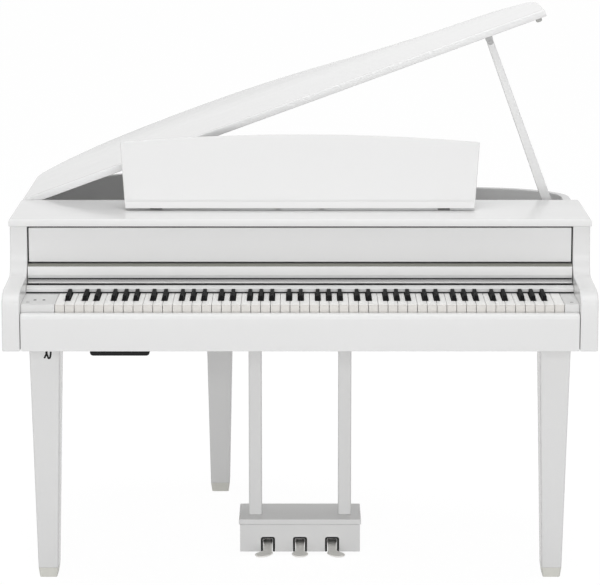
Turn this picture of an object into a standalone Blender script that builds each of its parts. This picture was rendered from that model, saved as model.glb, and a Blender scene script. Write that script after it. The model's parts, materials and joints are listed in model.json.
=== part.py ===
"""A white digital grand piano with its lid up.

Metres, +Z up, the player sits at -Y and the bass keys are at -X. Depths are measured back from the
front faces of the arms. One empty carries every piece and puts the origin on the floor, under the
middle of the whole piano.
"""

import math

import bmesh
import bpy
from mathutils import Vector

for old in list(bpy.data.objects):
    bpy.data.objects.remove(old)

# Clearances
SEAT = 0.0003  # between pieces that are screwed together or rest on each other
RUN = 0.0005  # beside pieces that turn or slide
SHADOW = 0.002  # the dark line left beside the name board and the key cover

# Keyboard
WHITE_KEYS = 52
PITCH = 0.0235
KEY_GAP = 0.0010
KEY_FRONT = 0.031
KEY_HEAD = 0.0465  # from the front to where the black keys start
KEY_TOP = 0.7425
KEY_THICK = 0.021
KEY_DIP = 0.010
PIVOT_DEPTH = 0.250
PIVOT_DROP = 0.010  # below the tops of the white keys
WHITE_REAR = 0.252
BLACK_REAR = 0.2645
BLACK_RISE = 0.012
BLACK_CAP = 0.0955
BLACK_BASE = 0.011
BLACK_CREST = 0.0095
BLACK_SLANT = 0.006
BLACK_STICK = 0.015  # height of the wood under the black cap
STICK_DROP = 0.002  # from the tops of the white keys to that wood
HEEL = 0.013  # how far the heels reach under the keys
HEEL_DEEP = 0.007
LEFT_BLOCK = 0.082
RIGHT_BLOCK = 0.036

# Case
ARM_WALL = 0.042
CASE_DEPTH = 1.230
CASE_BOTTOM = 0.634
CASE_TOP = 0.902
BOARD = 0.018
RIM_WALL = 0.022
BEAM_WALL = 0.018
TOP_FRONT = 0.213
TOP_BACK = 0.523
TOP_WALL = 0.018
TOP_OVERHANG = 0.003
TOP_ROUND = 0.007
ARM_NOSE = 0.747
ARM_SHELF = 0.778
ARM_NOSE_DEPTH = 0.057
ARM_SHELF_END = 0.178
ARM_SHELF_RISE = 0.005
ARM_SHELF_SLOPE = 3  # degrees
ARM_NECK = 0.220
ARM_NECK_FOOT = 0.836
ARM_NOSE_REACH = 0.018  # of the curve's handles
ARM_SHELF_REACH = 0.030
ARM_ROUND = 0.003
SLIP_FRONT = 0.003
SLIP_WALL = 0.024
SLIP_TOP = 0.724
SLIP_ROUND = 0.012

# Bent side, seen from above. The last value is the reach of the curve's handles.
TAIL_START = (0.930, 0.090)  # depth where the left side begins to bend
TAIL_SHOULDER = (0.237, 0.038, 0.100)  # from the left side and from the tail
TAIL_CROWN = (0.490, 0.100)  # from the left side
BEND_UPPER = (0.827, 0.114, 0.130)  # from the left side and from the tail
WAIST = (0.312, 0.952, 0.090)  # from the right side, and its depth
BEND_LOWER = (0.122, 0.903, 0.060)
CHEEK = (0.757, 0.075)  # depth where the right side begins to bend
OUTLINE_STEPS = 9

# Lid and prop
LID_WALL = 0.018
LID_INSET = 0.005
LID_LIFT = 0.010  # air between the closed lid and the rim
LID_ANGLE = math.radians(20.14)
LID_ROUND = 0.006
HINGE_LEAF = 0.017
HINGE_INSET = 0.001
HINGE_ENDS = 0.005  # short of the front of the lid
HINGE_PAST_BEND = 0.020
PROP_BACK = 0.033  # behind the front edge of the lid
PROP_THICK = 0.024
PROP_TOP_WIDTH = 0.017
PROP_FOOT_WIDTH = 0.025
PROP_DROP = 0.016  # prop axis below the underside of the lid
FOOT_FROM_RIM = 0.0385
FOOT_BELOW_RIM = 0.0252
EAR_WALL = 0.0035
EAR_HALF = 0.010
EAR_LONG = 0.024
CUP_SLOPE = math.radians(60)
CUP_ABOVE = 0.016
CUP_BELOW = 0.012
CUP_LIP = 0.004

# Name board, strip behind the keys, sliding key cover
BOARD_FACE = 0.225
BOARD_FACE_LOW = 0.812
BOARD_FACE_HIGH = 0.897
BOARD_FACE_WALL = 0.006
BOARD_CORE_WALL = 0.010
STRIP_FRONT = 0.175
STRIP_LOW = 0.744
STRIP_BREAK = 0.754
STRIP_TOP = 0.760
STRIP_SLOPE = 0.012
STRIP_WALL = 0.017
NOSE_FRONT = 0.205
NOSE_BACK = 0.243
NOSE_LOW = 0.762
NOSE_LIP = 0.0085
NOSE_GROOVE = 0.004
NOSE_LIP_IN = 0.001
NOSE_LIP_DEEP = 0.012
NOSE_EDGE = 0.004  # height of the bevel over the groove
NOSE_TOP = 0.8075
NOSE_ROUND = 0.010
COVER_TOP = 0.788
COVER_WALL = 0.008
COVER_LONG = 0.200
COVER_SLOPE = 0.04

# Music desk
DESK_DEPTH = 0.372
DESK_HINGE = 0.0062
DESK_BARREL = 0.030
DESK_BARREL_AT = 0.360
DESK_WALL = 0.010
DESK_BACK = 0.001  # back face in front of the hinge axis
DESK_LOW_HALF = 0.4375
DESK_HIGH_HALF = 0.452
DESK_SIDE = 0.163
DESK_MIDDLE = 0.183
DESK_LEAN = math.radians(20)
LEDGE_DEEP = 0.019
LEDGE_WALL = 0.007
LEDGE_LIP = 0.010
LEDGE_LIP_WALL = 0.003
LEDGE_LIP_FOOT = 0.004
STAY_BEHIND = 0.062
STAY_WALL = 0.004
STAY_HALF = 0.060
STAY_AT = 0.085  # how far up the desk the stay touches it

# Controls
BUTTON_TRAVEL = 0.0008
BUTTON_PROUD = 0.001
BUTTON_TALL = 0.0055
BUTTON_SIDES = 20
# name, distance from the arm, depth, radius
LEFT_BUTTONS = (
    ("left_button_1", 0.015, 0.063, 0.0042),
    ("left_button_2", 0.030, 0.090, 0.0035),
    ("left_button_3", 0.0515, 0.090, 0.0035),
)
RIGHT_BUTTONS = (("power_button", 0.0168, 0.0586, 0.0042),)
SOCKET_RADIUS = 0.00325
SOCKET_DEEP = 0.014
SOCKETS = (0.034, 0.062)  # from the left end of the jack box
JACK_LEFT = 0.163  # from the inner face of the left arm
JACK_WIDE = 0.144
JACK_FRONT = 0.062
JACK_DEEP = 0.088
JACK_TALL = 0.0227
JACK_ROUND = 0.008
INLET = (0.024, 0.016, 0.012)
HOOK_FROM_ARM = 0.061
HOOK_DEPTH = 0.050
HOOK_WALL = 0.007
HOOK_PLATE = (0.026, 0.022, 0.0025)
HOOK_STEM = 0.0022
HOOK_REACH = 0.0145
HOOK_THROAT = 0.0095
HOOK_TIP = 0.009
HOOK_DROP = 0.0275
HOOK_TAPER = 0.001

# Inside
DECK_FRONT = 0.605
DECK_HEIGHT = 0.800
DECK_WALL = 0.012
LEFT_SPEAKER = 0.315  # from the left side
RIGHT_SPEAKER = 0.765
SPEAKER_DEPTH = 0.800
SPEAKER_FLANGE = 0.086
SPEAKER_HOLE = 0.078
SPEAKER_RIM = 0.004
SPEAKER_BASKET = 0.048
SPEAKER_TALL = 0.070
MAGNET_TALL = 0.026
CONE_RADIUS = 0.070
CONE_DEEP = 0.018
SURROUND = 0.004
SURROUND_DROP = 0.002
DUST_CAP = 0.022
DUST_CAP_RISE = 0.006
FRAME_BASE = 0.008
FRAME_FRONT = 0.048
FRAME_RAIL = 0.026
MAIN_BOARD = (0.300, 0.160, 0.003)
MAIN_BOARD_SIDE = 0.365  # from the left side
MAIN_BOARD_FRONT = 0.640
# places on the circuit board, side and height of its larger parts
CHIPS = (
    (0.050, 0.050, 0.030, 0.004),
    (0.130, 0.090, 0.038, 0.003),
    (0.220, 0.050, 0.045, 0.022),
)

# Stand
LEG_FROM_SIDE = 0.079
FRONT_LEG_TOP = (0.236, 0.078, 0.104)  # depth of the front face, width, thickness
FRONT_LEG_FOOT = (0.253, 0.050, 0.070)
REAR_LEG_AT = -0.224
REAR_LEG_TOP = (1.080, 0.080, 0.088)
REAR_LEG_FOOT = (1.092, 0.053, 0.060)
LEG_ROUND = 0.004
CAP_TALL = 0.025
CAP_TAPER = 0.0035
POST_FROM_END = 0.0394  # of the pedal box
POST_SIDE = 0.034
POST_DEPTH = 0.501
POST_ROUND = 0.005
BOX_HALF = 0.155
BOX_FRONT = 0.458
BOX_DEEP = 0.153
BOX_LOW = 0.008
BOX_TALL = 0.067
BOX_CAP_WALL = 0.020
BOX_CAP_OVER = 0.003
BOX_CAP_ROUND = 0.003
SLOT_WIDE = 0.0365
SLOT_TALL = 0.039
SLOT_DEEP = 0.087
PEDAL_FROM_END = 0.072  # of the pedal box
PEDAL_PIVOT = 0.530
PEDAL_LOW = 0.024
PEDAL_WALL = 0.008
PEDAL_NECK = 0.014
PEDAL_TIP = 0.345
PEDAL_TOE = 0.021
PEDAL_TOE_LONG = 0.022
PEDAL_FLARE = 0.050
PEDAL_OUTWARD = 0.011
PEDAL_CURVE = 0.012  # reach of the curve's handles
PEDAL_HUB = 0.007
ADJUSTER_RADIUS = 0.012

# Sizes that follow from these
KEYBOARD = WHITE_KEYS * PITCH
ARM_INNER = (KEYBOARD + LEFT_BLOCK + RIGHT_BLOCK) / 2
CASE_HALF = ARM_INNER + ARM_WALL
KEYBOARD_LEFT = LEFT_BLOCK - ARM_INNER
RIM_INNER = CASE_HALF - RIM_WALL
RIM_TOP = CASE_TOP - LID_LIFT
TOP_FACE = CASE_TOP + TOP_WALL
BED_TOP = CASE_BOTTOM + BOARD
KEY_LOW = KEY_TOP - KEY_THICK
HEEL_LOW = KEY_LOW - HEEL
KEY_PIVOT = Vector((0, PIVOT_DEPTH, KEY_TOP - PIVOT_DROP))
BLACK_FRONT = KEY_FRONT + KEY_HEAD + KEY_GAP / 2
STICK_TOP = KEY_TOP - STICK_DROP
STICK_LOW = STICK_TOP - BLACK_STICK
WELL_DEEP = BUTTON_TALL - BUTTON_PROUD + BUTTON_TRAVEL + SEAT
LID_FRONT = TOP_BACK + SHADOW
PROP_DEPTH = LID_FRONT + PROP_BACK
HINGE = Vector((LID_INSET - CASE_HALF, 0, CASE_TOP))
FOOT = Vector((RIM_INNER - FOOT_FROM_RIM, 0, RIM_TOP - FOOT_BELOW_RIM))
ALONG_LID = Vector((math.cos(LID_ANGLE), 0, math.sin(LID_ANGLE)))
BELOW_LID = Vector((math.sin(LID_ANGLE), 0, -math.cos(LID_ANGLE)))
PROP_ALONG = (FOOT - HINGE).dot(ALONG_LID)
PROP_LONG = (FOOT - HINGE).dot(BELOW_LID) - PROP_DROP
DESK_AXIS = Vector((0, DESK_DEPTH, TOP_FACE + SEAT + DESK_HINGE))
STAY_AXIS = Vector((0, DESK_DEPTH + STAY_BEHIND, TOP_FACE + RUN + STAY_WALL / 2))
POST_AT = BOX_HALF - POST_FROM_END
PEDAL_AT = BOX_HALF - PEDAL_FROM_END


def material(name, color, roughness, metallic=0.0):
    """A plain finish for a group of pieces."""
    made = bpy.data.materials.new(name)
    made.use_nodes = True
    shader = made.node_tree.nodes["Principled BSDF"]
    shader.inputs["Base Color"].default_value = (*color, 1.0)
    shader.inputs["Roughness"].default_value = roughness
    shader.inputs["Metallic"].default_value = metallic
    made.diffuse_color = (*color, 1.0)
    return made


LACQUER = material("white_lacquer", (0.86, 0.86, 0.86), 0.12)
BLOCK_PAINT = material("grey_white_paint", (0.68, 0.68, 0.68), 0.30)
IVORY = material("key_ivory", (0.86, 0.84, 0.80), 0.35)
EBONY = material("key_ebony", (0.015, 0.015, 0.016), 0.45)
CREAM = material("cream_plastic", (0.74, 0.73, 0.68), 0.40)
METAL = material("polished_pedal", (0.80, 0.79, 0.75), 0.22, 1.0)
STEEL = material("plated_steel", (0.70, 0.70, 0.70), 0.30, 1.0)
BLACK = material("black_plastic", (0.02, 0.02, 0.02), 0.45)
BUTTON = material("grey_button", (0.40, 0.40, 0.40), 0.45)
BARE_WOOD = material("bare_board", (0.50, 0.38, 0.25), 0.70)
CIRCUIT = material("circuit_board", (0.03, 0.16, 0.07), 0.50)

FRAME = bpy.data.objects.new("piano", None)
FRAME.location = (0, -CASE_DEPTH / 2, 0)
bpy.context.scene.collection.objects.link(FRAME)


def finish(name, shape, paint, pivot=(0, 0, 0), turn=(0, 0, 0), smooth=None):
    """Make a bmesh drawn in place one named object, with its origin on its pivot."""
    bmesh.ops.recalc_face_normals(shape, faces=shape.faces)
    bmesh.ops.translate(shape, vec=-Vector(pivot), verts=shape.verts)
    mesh = bpy.data.meshes.new(name)
    shape.to_mesh(mesh)
    shape.free()
    mesh.materials.append(paint)
    if smooth:
        mesh.shade_smooth()
        mesh.set_sharp_from_angle(angle=math.radians(smooth))
    made = bpy.data.objects.new(name, mesh)
    made.location = pivot
    made.rotation_euler = turn
    made.parent = FRAME
    bpy.context.scene.collection.objects.link(made)
    return made


def combine(body, tool, operation):
    """Cut a tool out of a body, or join it on, and keep the tool out of the build."""
    tool.hide_render = True
    tool.display_type = "WIRE"
    step = body.modifiers.new(tool.name, "BOOLEAN")
    step.operation = operation
    step.solver = "EXACT"
    step.object = tool


def prism(outline, axis, low, high, shape=None):
    """A flat outline, drawn in the two other axes, pushed from low to high along an axis."""
    shape = shape or bmesh.new()
    place = {
        "X": lambda a, b, along: (along, a, b),
        "Y": lambda a, b, along: (a, along, b),
        "Z": lambda a, b, along: (a, b, along),
    }[axis]
    near = [shape.verts.new(place(a, b, low)) for a, b in outline]
    far = [shape.verts.new(place(a, b, high)) for a, b in outline]
    shape.faces.new(near)
    shape.faces.new(far)
    for index in range(len(near)):
        after = (index + 1) % len(near)
        shape.faces.new((near[index], near[after], far[after], far[index]))
    return shape


def box(low, high, shape=None):
    """A plain box between two corners."""
    (x0, y0, z0), (x1, y1, z1) = low, high
    return prism([(x0, y0), (x1, y0), (x1, y1), (x0, y1)], "Z", z0, z1, shape)


def soften(shape, radius, chosen, segments=2):
    """Round the edges that a test picks from their two ends."""
    bmesh.ops.recalc_face_normals(shape, faces=shape.faces)
    edges = [edge for edge in shape.edges if chosen(edge.verts[0].co, edge.verts[1].co)]
    bmesh.ops.bevel(shape, geom=edges, offset=radius, segments=segments, affect="EDGES", profile=0.5)


def rod(axis, centre, low, high, radius, sides, shape=None):
    """A round bar along an axis. The centre gives the two other coordinates."""
    ring = []
    for side in range(sides):
        angle = math.tau * side / sides
        ring.append((centre[0] + radius * math.cos(angle), centre[1] + radius * math.sin(angle)))
    return prism(ring, axis, low, high, shape)


def turned(profile, sides):
    """A profile of (radius, height), from the top of the axis to the bottom, turned about Z."""
    shape = bmesh.new()
    top = shape.verts.new((0, 0, profile[0][1]))
    bottom = shape.verts.new((0, 0, profile[-1][1]))
    rings = []
    for radius, height in profile[1:-1]:
        ring = []
        for side in range(sides):
            angle = math.tau * side / sides
            ring.append(shape.verts.new((radius * math.cos(angle), radius * math.sin(angle), height)))
        rings.append(ring)
    for side in range(sides):
        after = (side + 1) % sides
        shape.faces.new((top, rings[0][side], rings[0][after]))
        shape.faces.new((bottom, rings[-1][after], rings[-1][side]))
        for upper, lower in zip(rings, rings[1:]):
            shape.faces.new((upper[side], lower[side], lower[after], upper[after]))
    return shape


def smooth_path(knots, steps, inset=0.0):
    """Points on Bezier curves through knots of (a, b, heading in degrees, reach of the handles).

    The points are moved by the inset to the right of the way they run.
    """
    points = []
    for (a0, b0, turn0, reach0), (a1, b1, turn1, reach1) in zip(knots, knots[1:]):
        start = Vector((a0, b0))
        end = Vector((a1, b1))
        leave = start + reach0 * Vector((math.cos(math.radians(turn0)), math.sin(math.radians(turn0))))
        arrive = end - reach1 * Vector((math.cos(math.radians(turn1)), math.sin(math.radians(turn1))))
        for step in range(1 if points else 0, steps + 1):
            t = step / steps
            s = 1 - t
            at = s**3 * start + 3 * s * s * t * leave + 3 * s * t * t * arrive + t**3 * end
            way = s * s * (leave - start) + 2 * s * t * (arrive - leave) + t * t * (end - arrive)
            way.normalize()
            points.append((at.x + inset * way.y, at.y - inset * way.x))
    return points


def bent_side(left, inset):
    """The curved back of the case, from the left side round the tail to the right side."""
    knots = (
        (left, TAIL_START[0], 90, TAIL_START[1]),
        (TAIL_SHOULDER[0] - CASE_HALF, CASE_DEPTH - TAIL_SHOULDER[1], 18, TAIL_SHOULDER[2]),
        (TAIL_CROWN[0] - CASE_HALF, CASE_DEPTH, 0, TAIL_CROWN[1]),
        (BEND_UPPER[0] - CASE_HALF, CASE_DEPTH - BEND_UPPER[1], -34, BEND_UPPER[2]),
        (CASE_HALF - WAIST[0], WAIST[1], -20, WAIST[2]),
        (CASE_HALF - BEND_LOWER[0], BEND_LOWER[1], -22, BEND_LOWER[2]),
        (CASE_HALF, CHEEK[0], -90, CHEEK[1]),
    )
    return smooth_path(knots, OUTLINE_STEPS, inset)


def outline_from(front, inset, left=None):
    """The closed outline of a board that fills the bent side, from a front edge back."""
    left = -CASE_HALF if left is None else left
    corner_left = (left + inset, front)
    corner_right = (CASE_HALF - inset, front)
    return [corner_left] + bent_side(left, inset) + [corner_right]


def arms():
    """The two side boards, with the scrolled front that the player sees."""
    knots = (
        (0.0, ARM_NOSE, 90, ARM_NOSE_REACH),
        (ARM_NOSE_DEPTH, ARM_SHELF, ARM_SHELF_SLOPE, ARM_SHELF_REACH),
        (ARM_SHELF_END, ARM_SHELF + ARM_SHELF_RISE, ARM_SHELF_SLOPE, ARM_SHELF_REACH),
        (ARM_NECK, ARM_NECK_FOOT, 90, ARM_SHELF_REACH),
    )
    profile = [(0.0, CASE_BOTTOM)] + smooth_path(knots, 7)
    profile += [(ARM_NECK, CASE_TOP - SEAT), (TOP_BACK, CASE_TOP - SEAT), (TOP_BACK, CASE_BOTTOM)]
    for name, inner, outer in (
        ("left_arm", -ARM_INNER, -CASE_HALF),
        ("right_arm", ARM_INNER, CASE_HALF),
    ):
        shape = prism(profile, "X", inner, outer)

        def on_front(one, two):
            low = one.y < ARM_NECK + RUN and two.y < ARM_NECK + RUN
            return low and abs(one.x - two.x) < SEAT and max(one.z, two.z) > CASE_BOTTOM + SEAT

        soften(shape, ARM_ROUND, on_front)
        finish(name, shape, LACQUER, smooth=30)


def rim():
    """The bent wall round the back of the case, open to the front."""
    front = TOP_BACK + SEAT
    outer = outline_from(front, 0.0)
    inner = outline_from(front, RIM_WALL)
    shape = bmesh.new()
    loops = []
    for outline, height in (
        (outer, CASE_BOTTOM),
        (outer, RIM_TOP),
        (inner, RIM_TOP),
        (inner, CASE_BOTTOM),
    ):
        loops.append([shape.verts.new((x, y, height)) for x, y in outline])
    for one, two in zip(loops, loops[1:] + loops[:1]):
        for index in range(len(one) - 1):
            shape.faces.new((one[index], one[index + 1], two[index + 1], two[index]))
    shape.faces.new([loop[0] for loop in loops])
    shape.faces.new([loop[-1] for loop in loops])
    finish("rim", shape, LACQUER, smooth=30)


def case_boards():
    """Keybed, floor of the rear case, and the beam between the two."""
    side = ARM_INNER - SEAT
    slip_back = SLIP_FRONT + SLIP_WALL
    low = (-side, slip_back + SEAT, CASE_BOTTOM)
    finish("keybed", box(low, (side, TOP_BACK - SEAT, BED_TOP)), BARE_WOOD)
    floor = outline_from(TOP_BACK + SEAT, RIM_WALL + SEAT)
    finish("bottom_board", prism(floor, "Z", CASE_BOTTOM, BED_TOP), BARE_WOOD)
    beam = box(
        (-side, TOP_BACK - BEAM_WALL, BED_TOP + SEAT),
        (side, TOP_BACK - SEAT, CASE_TOP - SEAT),
    )
    finish("crossbeam", beam, LACQUER)


def key_slip():
    """The rail along the front of the keys, rounded at its top front edge."""
    profile = [(SLIP_FRONT, CASE_BOTTOM)]
    for step in range(6):
        angle = math.radians(180 - 18 * step)
        across = SLIP_FRONT + SLIP_ROUND * (1 + math.cos(angle))
        profile.append((across, SLIP_TOP - SLIP_ROUND * (1 - math.sin(angle))))
    profile += [(SLIP_FRONT + SLIP_WALL, SLIP_TOP), (SLIP_FRONT + SLIP_WALL, CASE_BOTTOM)]
    shape = prism(profile, "X", SEAT - ARM_INNER, ARM_INNER - SEAT)
    finish("key_slip", shape, LACQUER, smooth=30)


def top_panel():
    """The fixed front part of the top, which the music desk stands on."""
    half = CASE_HALF + TOP_OVERHANG
    shape = box((-half, TOP_FRONT, CASE_TOP), (half, TOP_BACK, TOP_FACE))

    def upper_rim(one, two):
        top = min(one.z, two.z) > TOP_FACE - SEAT
        return top and min(one.y, two.y) < TOP_BACK - SEAT

    soften(shape, TOP_ROUND, upper_rim, 3)
    finish("top_panel", shape, LACQUER, smooth=30)


def name_board():
    """The board above the keys. Its core is wider than its face, so a dark line shows round it."""
    core = ARM_INNER - SEAT
    face = ARM_INNER - SHADOW
    back = BOARD_FACE + BOARD_FACE_WALL
    outline = [
        (-face, BOARD_FACE),
        (face, BOARD_FACE),
        (face, back),
        (core, back),
        (core, back + BOARD_CORE_WALL),
        (-core, back + BOARD_CORE_WALL),
        (-core, back),
        (-face, back),
    ]
    shape = prism(outline, "Z", BOARD_FACE_LOW, BOARD_FACE_HIGH)
    board = finish("name_board", shape, LACQUER)
    ledge = box(
        (-core, back + SEAT, BOARD_FACE_HIGH - SHADOW),
        (core, back + BOARD_CORE_WALL - SEAT, CASE_TOP - SEAT),
    )
    combine(board, finish("name_board_tongue", ledge, LACQUER), "UNION")


def key_blocks():
    """The blocks at the two ends of the keys, with a well for each button, and the buttons."""
    for name, left, right, arm, buttons in (
        ("left_key_block", SEAT - ARM_INNER, KEYBOARD_LEFT - RUN, -1, LEFT_BUTTONS),
        ("right_key_block", KEYBOARD_LEFT + KEYBOARD + RUN, ARM_INNER - SEAT, 1, RIGHT_BUTTONS),
    ):
        shape = box((left, KEY_FRONT, BED_TOP + SEAT), (right, STRIP_FRONT - RUN, KEY_TOP))
        block = finish(name, shape, BLOCK_PAINT)
        wells = bmesh.new()
        for button, from_arm, depth, radius in buttons:
            centre = (arm * (ARM_INNER - from_arm), depth)
            rod("Z", centre, KEY_TOP - WELL_DEEP, KEY_TOP + SEAT, radius + SEAT, BUTTON_SIDES, wells)
            top = KEY_TOP + BUTTON_PROUD
            pin = rod("Z", centre, top - BUTTON_TALL, top, radius, BUTTON_SIDES)
            finish(button, pin, BUTTON, (*centre, top - BUTTON_TALL), smooth=30)
        combine(block, finish(name + "_wells", wells, BLOCK_PAINT), "DIFFERENCE")


def back_strip():
    """The strip that hides the tails of the keys."""
    half = ARM_INNER - RUN
    profile = [
        (STRIP_FRONT, STRIP_LOW),
        (STRIP_FRONT + STRIP_WALL, STRIP_LOW),
        (STRIP_FRONT + STRIP_WALL, STRIP_TOP),
        (STRIP_FRONT + STRIP_SLOPE, STRIP_TOP),
        (STRIP_FRONT, STRIP_BREAK),
    ]
    finish("key_backstrip", prism(profile, "X", -half, half), BLOCK_PAINT)


def key_cover():
    """The sliding cover, pushed back: a thin panel inside the case and the rail that leads it."""
    lip_top = NOSE_LOW + NOSE_LIP
    band_low = lip_top + NOSE_GROOVE
    profile = [
        (NOSE_FRONT + NOSE_LIP_IN, NOSE_LOW),
        (NOSE_FRONT + NOSE_LIP_DEEP, NOSE_LOW),
        (NOSE_FRONT + NOSE_LIP_DEEP, lip_top - NOSE_LIP_IN),
        (NOSE_BACK, lip_top),
        (NOSE_BACK, NOSE_TOP),
        (NOSE_FRONT + NOSE_ROUND, NOSE_TOP),
    ]
    for step in range(1, 6):
        angle = math.radians(90 + 18 * step)
        across = NOSE_FRONT + NOSE_ROUND * (1 + math.cos(angle))
        profile.append((across, NOSE_TOP - NOSE_ROUND * (1 - math.sin(angle))))
    profile += [
        (NOSE_FRONT, band_low + NOSE_EDGE),
        (NOSE_FRONT + NOSE_GROOVE / 2, band_low),
        (NOSE_FRONT + NOSE_GROOVE, band_low),
        (NOSE_FRONT + NOSE_GROOVE, lip_top),
        (NOSE_FRONT + NOSE_LIP_IN, lip_top),
    ]
    half = ARM_INNER - SHADOW
    finish("key_cover_nose", prism(profile, "X", -half, half), LACQUER, smooth=30)
    rise = COVER_SLOPE * COVER_LONG
    front = NOSE_BACK + SEAT
    panel = [
        (front, COVER_TOP - COVER_WALL),
        (front + COVER_LONG, COVER_TOP - COVER_WALL + rise),
        (front + COVER_LONG, COVER_TOP + rise),
        (front, COVER_TOP),
    ]
    shape = prism(panel, "X", RUN - ARM_INNER, ARM_INNER - RUN)
    finish("key_cover_panel", shape, LACQUER)


def key_frame():
    """The frame that carries the keys: a front stop rail and the rail that the heels turn on."""
    reach = PIVOT_DEPTH - FRAME_FRONT
    dip = KEY_DIP * reach / (PIVOT_DEPTH - KEY_FRONT)
    stop = KEY_LOW - dip - 2 * RUN
    base = BED_TOP + SEAT
    rest = HEEL_LOW - RUN
    heel_front = WHITE_REAR - SEAT - HEEL_DEEP
    back = BLACK_REAR + RUN
    profile = [
        (FRAME_FRONT, base),
        (back, base),
        (back, rest),
        (heel_front - RUN, rest),
        (heel_front - RUN, base + FRAME_BASE),
        (FRAME_FRONT + FRAME_RAIL, base + FRAME_BASE),
        (FRAME_FRONT + FRAME_RAIL, stop),
        (FRAME_FRONT, stop),
    ]
    left = KEYBOARD_LEFT + KEY_GAP
    shape = prism(profile, "X", left, left + KEYBOARD - 2 * KEY_GAP)
    finish("key_frame", shape, BARE_WOOD)


# Where the keys lie in an octave that starts at C. The three white keys up to E share five equal
# tails with two black keys, and the four up to B share seven with three.
WHITE_SLOTS = ((0, 5, 0), (0, 5, 2), (0, 5, 4), (3, 7, 0), (3, 7, 2), (3, 7, 4), (3, 7, 6))
BLACK_SLOTS = ((0, 5, 1), (0, 5, 3), (3, 7, 1), (3, 7, 3), (3, 7, 5))
FIRST_KEY = 5  # the lowest key is an A


def tail(octave, slot):
    """The left and right ends of a tail, from the octave and its place in the octave."""
    start, share, place = slot
    wide = (3 if start == 0 else 4) * PITCH / share
    left = KEYBOARD_LEFT + (7 * octave - FIRST_KEY + start) * PITCH + place * wide
    return left, left + wide


def white_key(index, shape):
    """One white key, cut back beside the black keys."""
    octave, place = divmod(index + FIRST_KEY, 7)
    left = KEYBOARD_LEFT + index * PITCH + KEY_GAP / 2
    right = left + PITCH - KEY_GAP
    tail_left, tail_right = tail(octave, WHITE_SLOTS[place])
    tail_left = left if index == 0 else max(left, tail_left + KEY_GAP / 2)
    tail_right = right if index == WHITE_KEYS - 1 else min(right, tail_right - KEY_GAP / 2)
    neck = KEY_FRONT + KEY_HEAD
    outline = [(left, KEY_FRONT), (right, KEY_FRONT)]
    if right - tail_right > SEAT:
        outline.append((right, neck))
        outline.append((tail_right, neck))
    outline.append((tail_right, WHITE_REAR))
    outline.append((tail_left, WHITE_REAR))
    if tail_left - left > SEAT:
        outline.append((tail_left, neck))
        outline.append((left, neck))
    prism(outline, "Z", KEY_LOW, KEY_TOP, shape)
    return tail_left, tail_right


def black_key(index, shape):
    """One black key: a stick as long as the white keys' tails, under a tapered cap."""
    octave, place = divmod(index + 4, 5)
    left, right = tail(octave, BLACK_SLOTS[place])
    centre = (left + right) / 2
    top = KEY_TOP + BLACK_RISE
    cap_back = BLACK_FRONT + BLACK_CAP
    outline = [
        (BLACK_FRONT, STICK_LOW),
        (BLACK_REAR, STICK_LOW),
        (BLACK_REAR, STICK_TOP),
        (cap_back, STICK_TOP),
        (cap_back, top),
        (BLACK_FRONT + BLACK_SLANT, top),
        (BLACK_FRONT, KEY_TOP),
    ]
    before = set(shape.verts)
    prism(outline, "X", centre - BLACK_BASE / 2, centre + BLACK_BASE / 2, shape)
    for vert in set(shape.verts) - before:
        if vert.co.z > top - SEAT:
            vert.co.x = centre + (vert.co.x - centre) * BLACK_CREST / BLACK_BASE
    return centre - BLACK_BASE / 2, centre + BLACK_BASE / 2


def key_bank(name, make, first, last, paint, heel_back, heel_top):
    """Keys first to last as one comb, joined by the rail that their heels stand on."""
    shape = bmesh.new()
    ends = []
    for index in range(first, last + 1):
        ends += make(index, shape)
    bank = finish(name, shape, paint, KEY_PIVOT)
    low = (min(ends) + SEAT, heel_back - HEEL_DEEP, HEEL_LOW)
    high = (max(ends) - SEAT, heel_back, heel_top)
    combine(bank, finish(name + "_heel", box(low, high), paint, KEY_PIVOT), "UNION")


def keys():
    """The middle octave as single keys, and the keys either side of it as four combs."""
    white_heel = (WHITE_REAR - SEAT, (KEY_LOW + STICK_LOW) / 2)
    black_heel = (BLACK_REAR - SEAT, STICK_LOW + BLACK_STICK / 2)
    for name, make, first, last, paint, heel in (
        ("white_keys_bass", white_key, 0, 22, IVORY, white_heel),
        ("white_keys_treble", white_key, 30, 51, IVORY, white_heel),
        ("black_keys_bass", black_key, 0, 15, EBONY, black_heel),
        ("black_keys_treble", black_key, 21, 35, EBONY, black_heel),
    ):
        key_bank(name, make, first, last, paint, *heel)
    for step, letter in enumerate("cdefgab"):
        key_bank("key_" + letter, white_key, 23 + step, 23 + step, IVORY, *white_heel)
    for step, letter in enumerate("cdfga"):
        key_bank("key_" + letter + "_sharp", black_key, 16 + step, 16 + step, EBONY, *black_heel)


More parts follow.
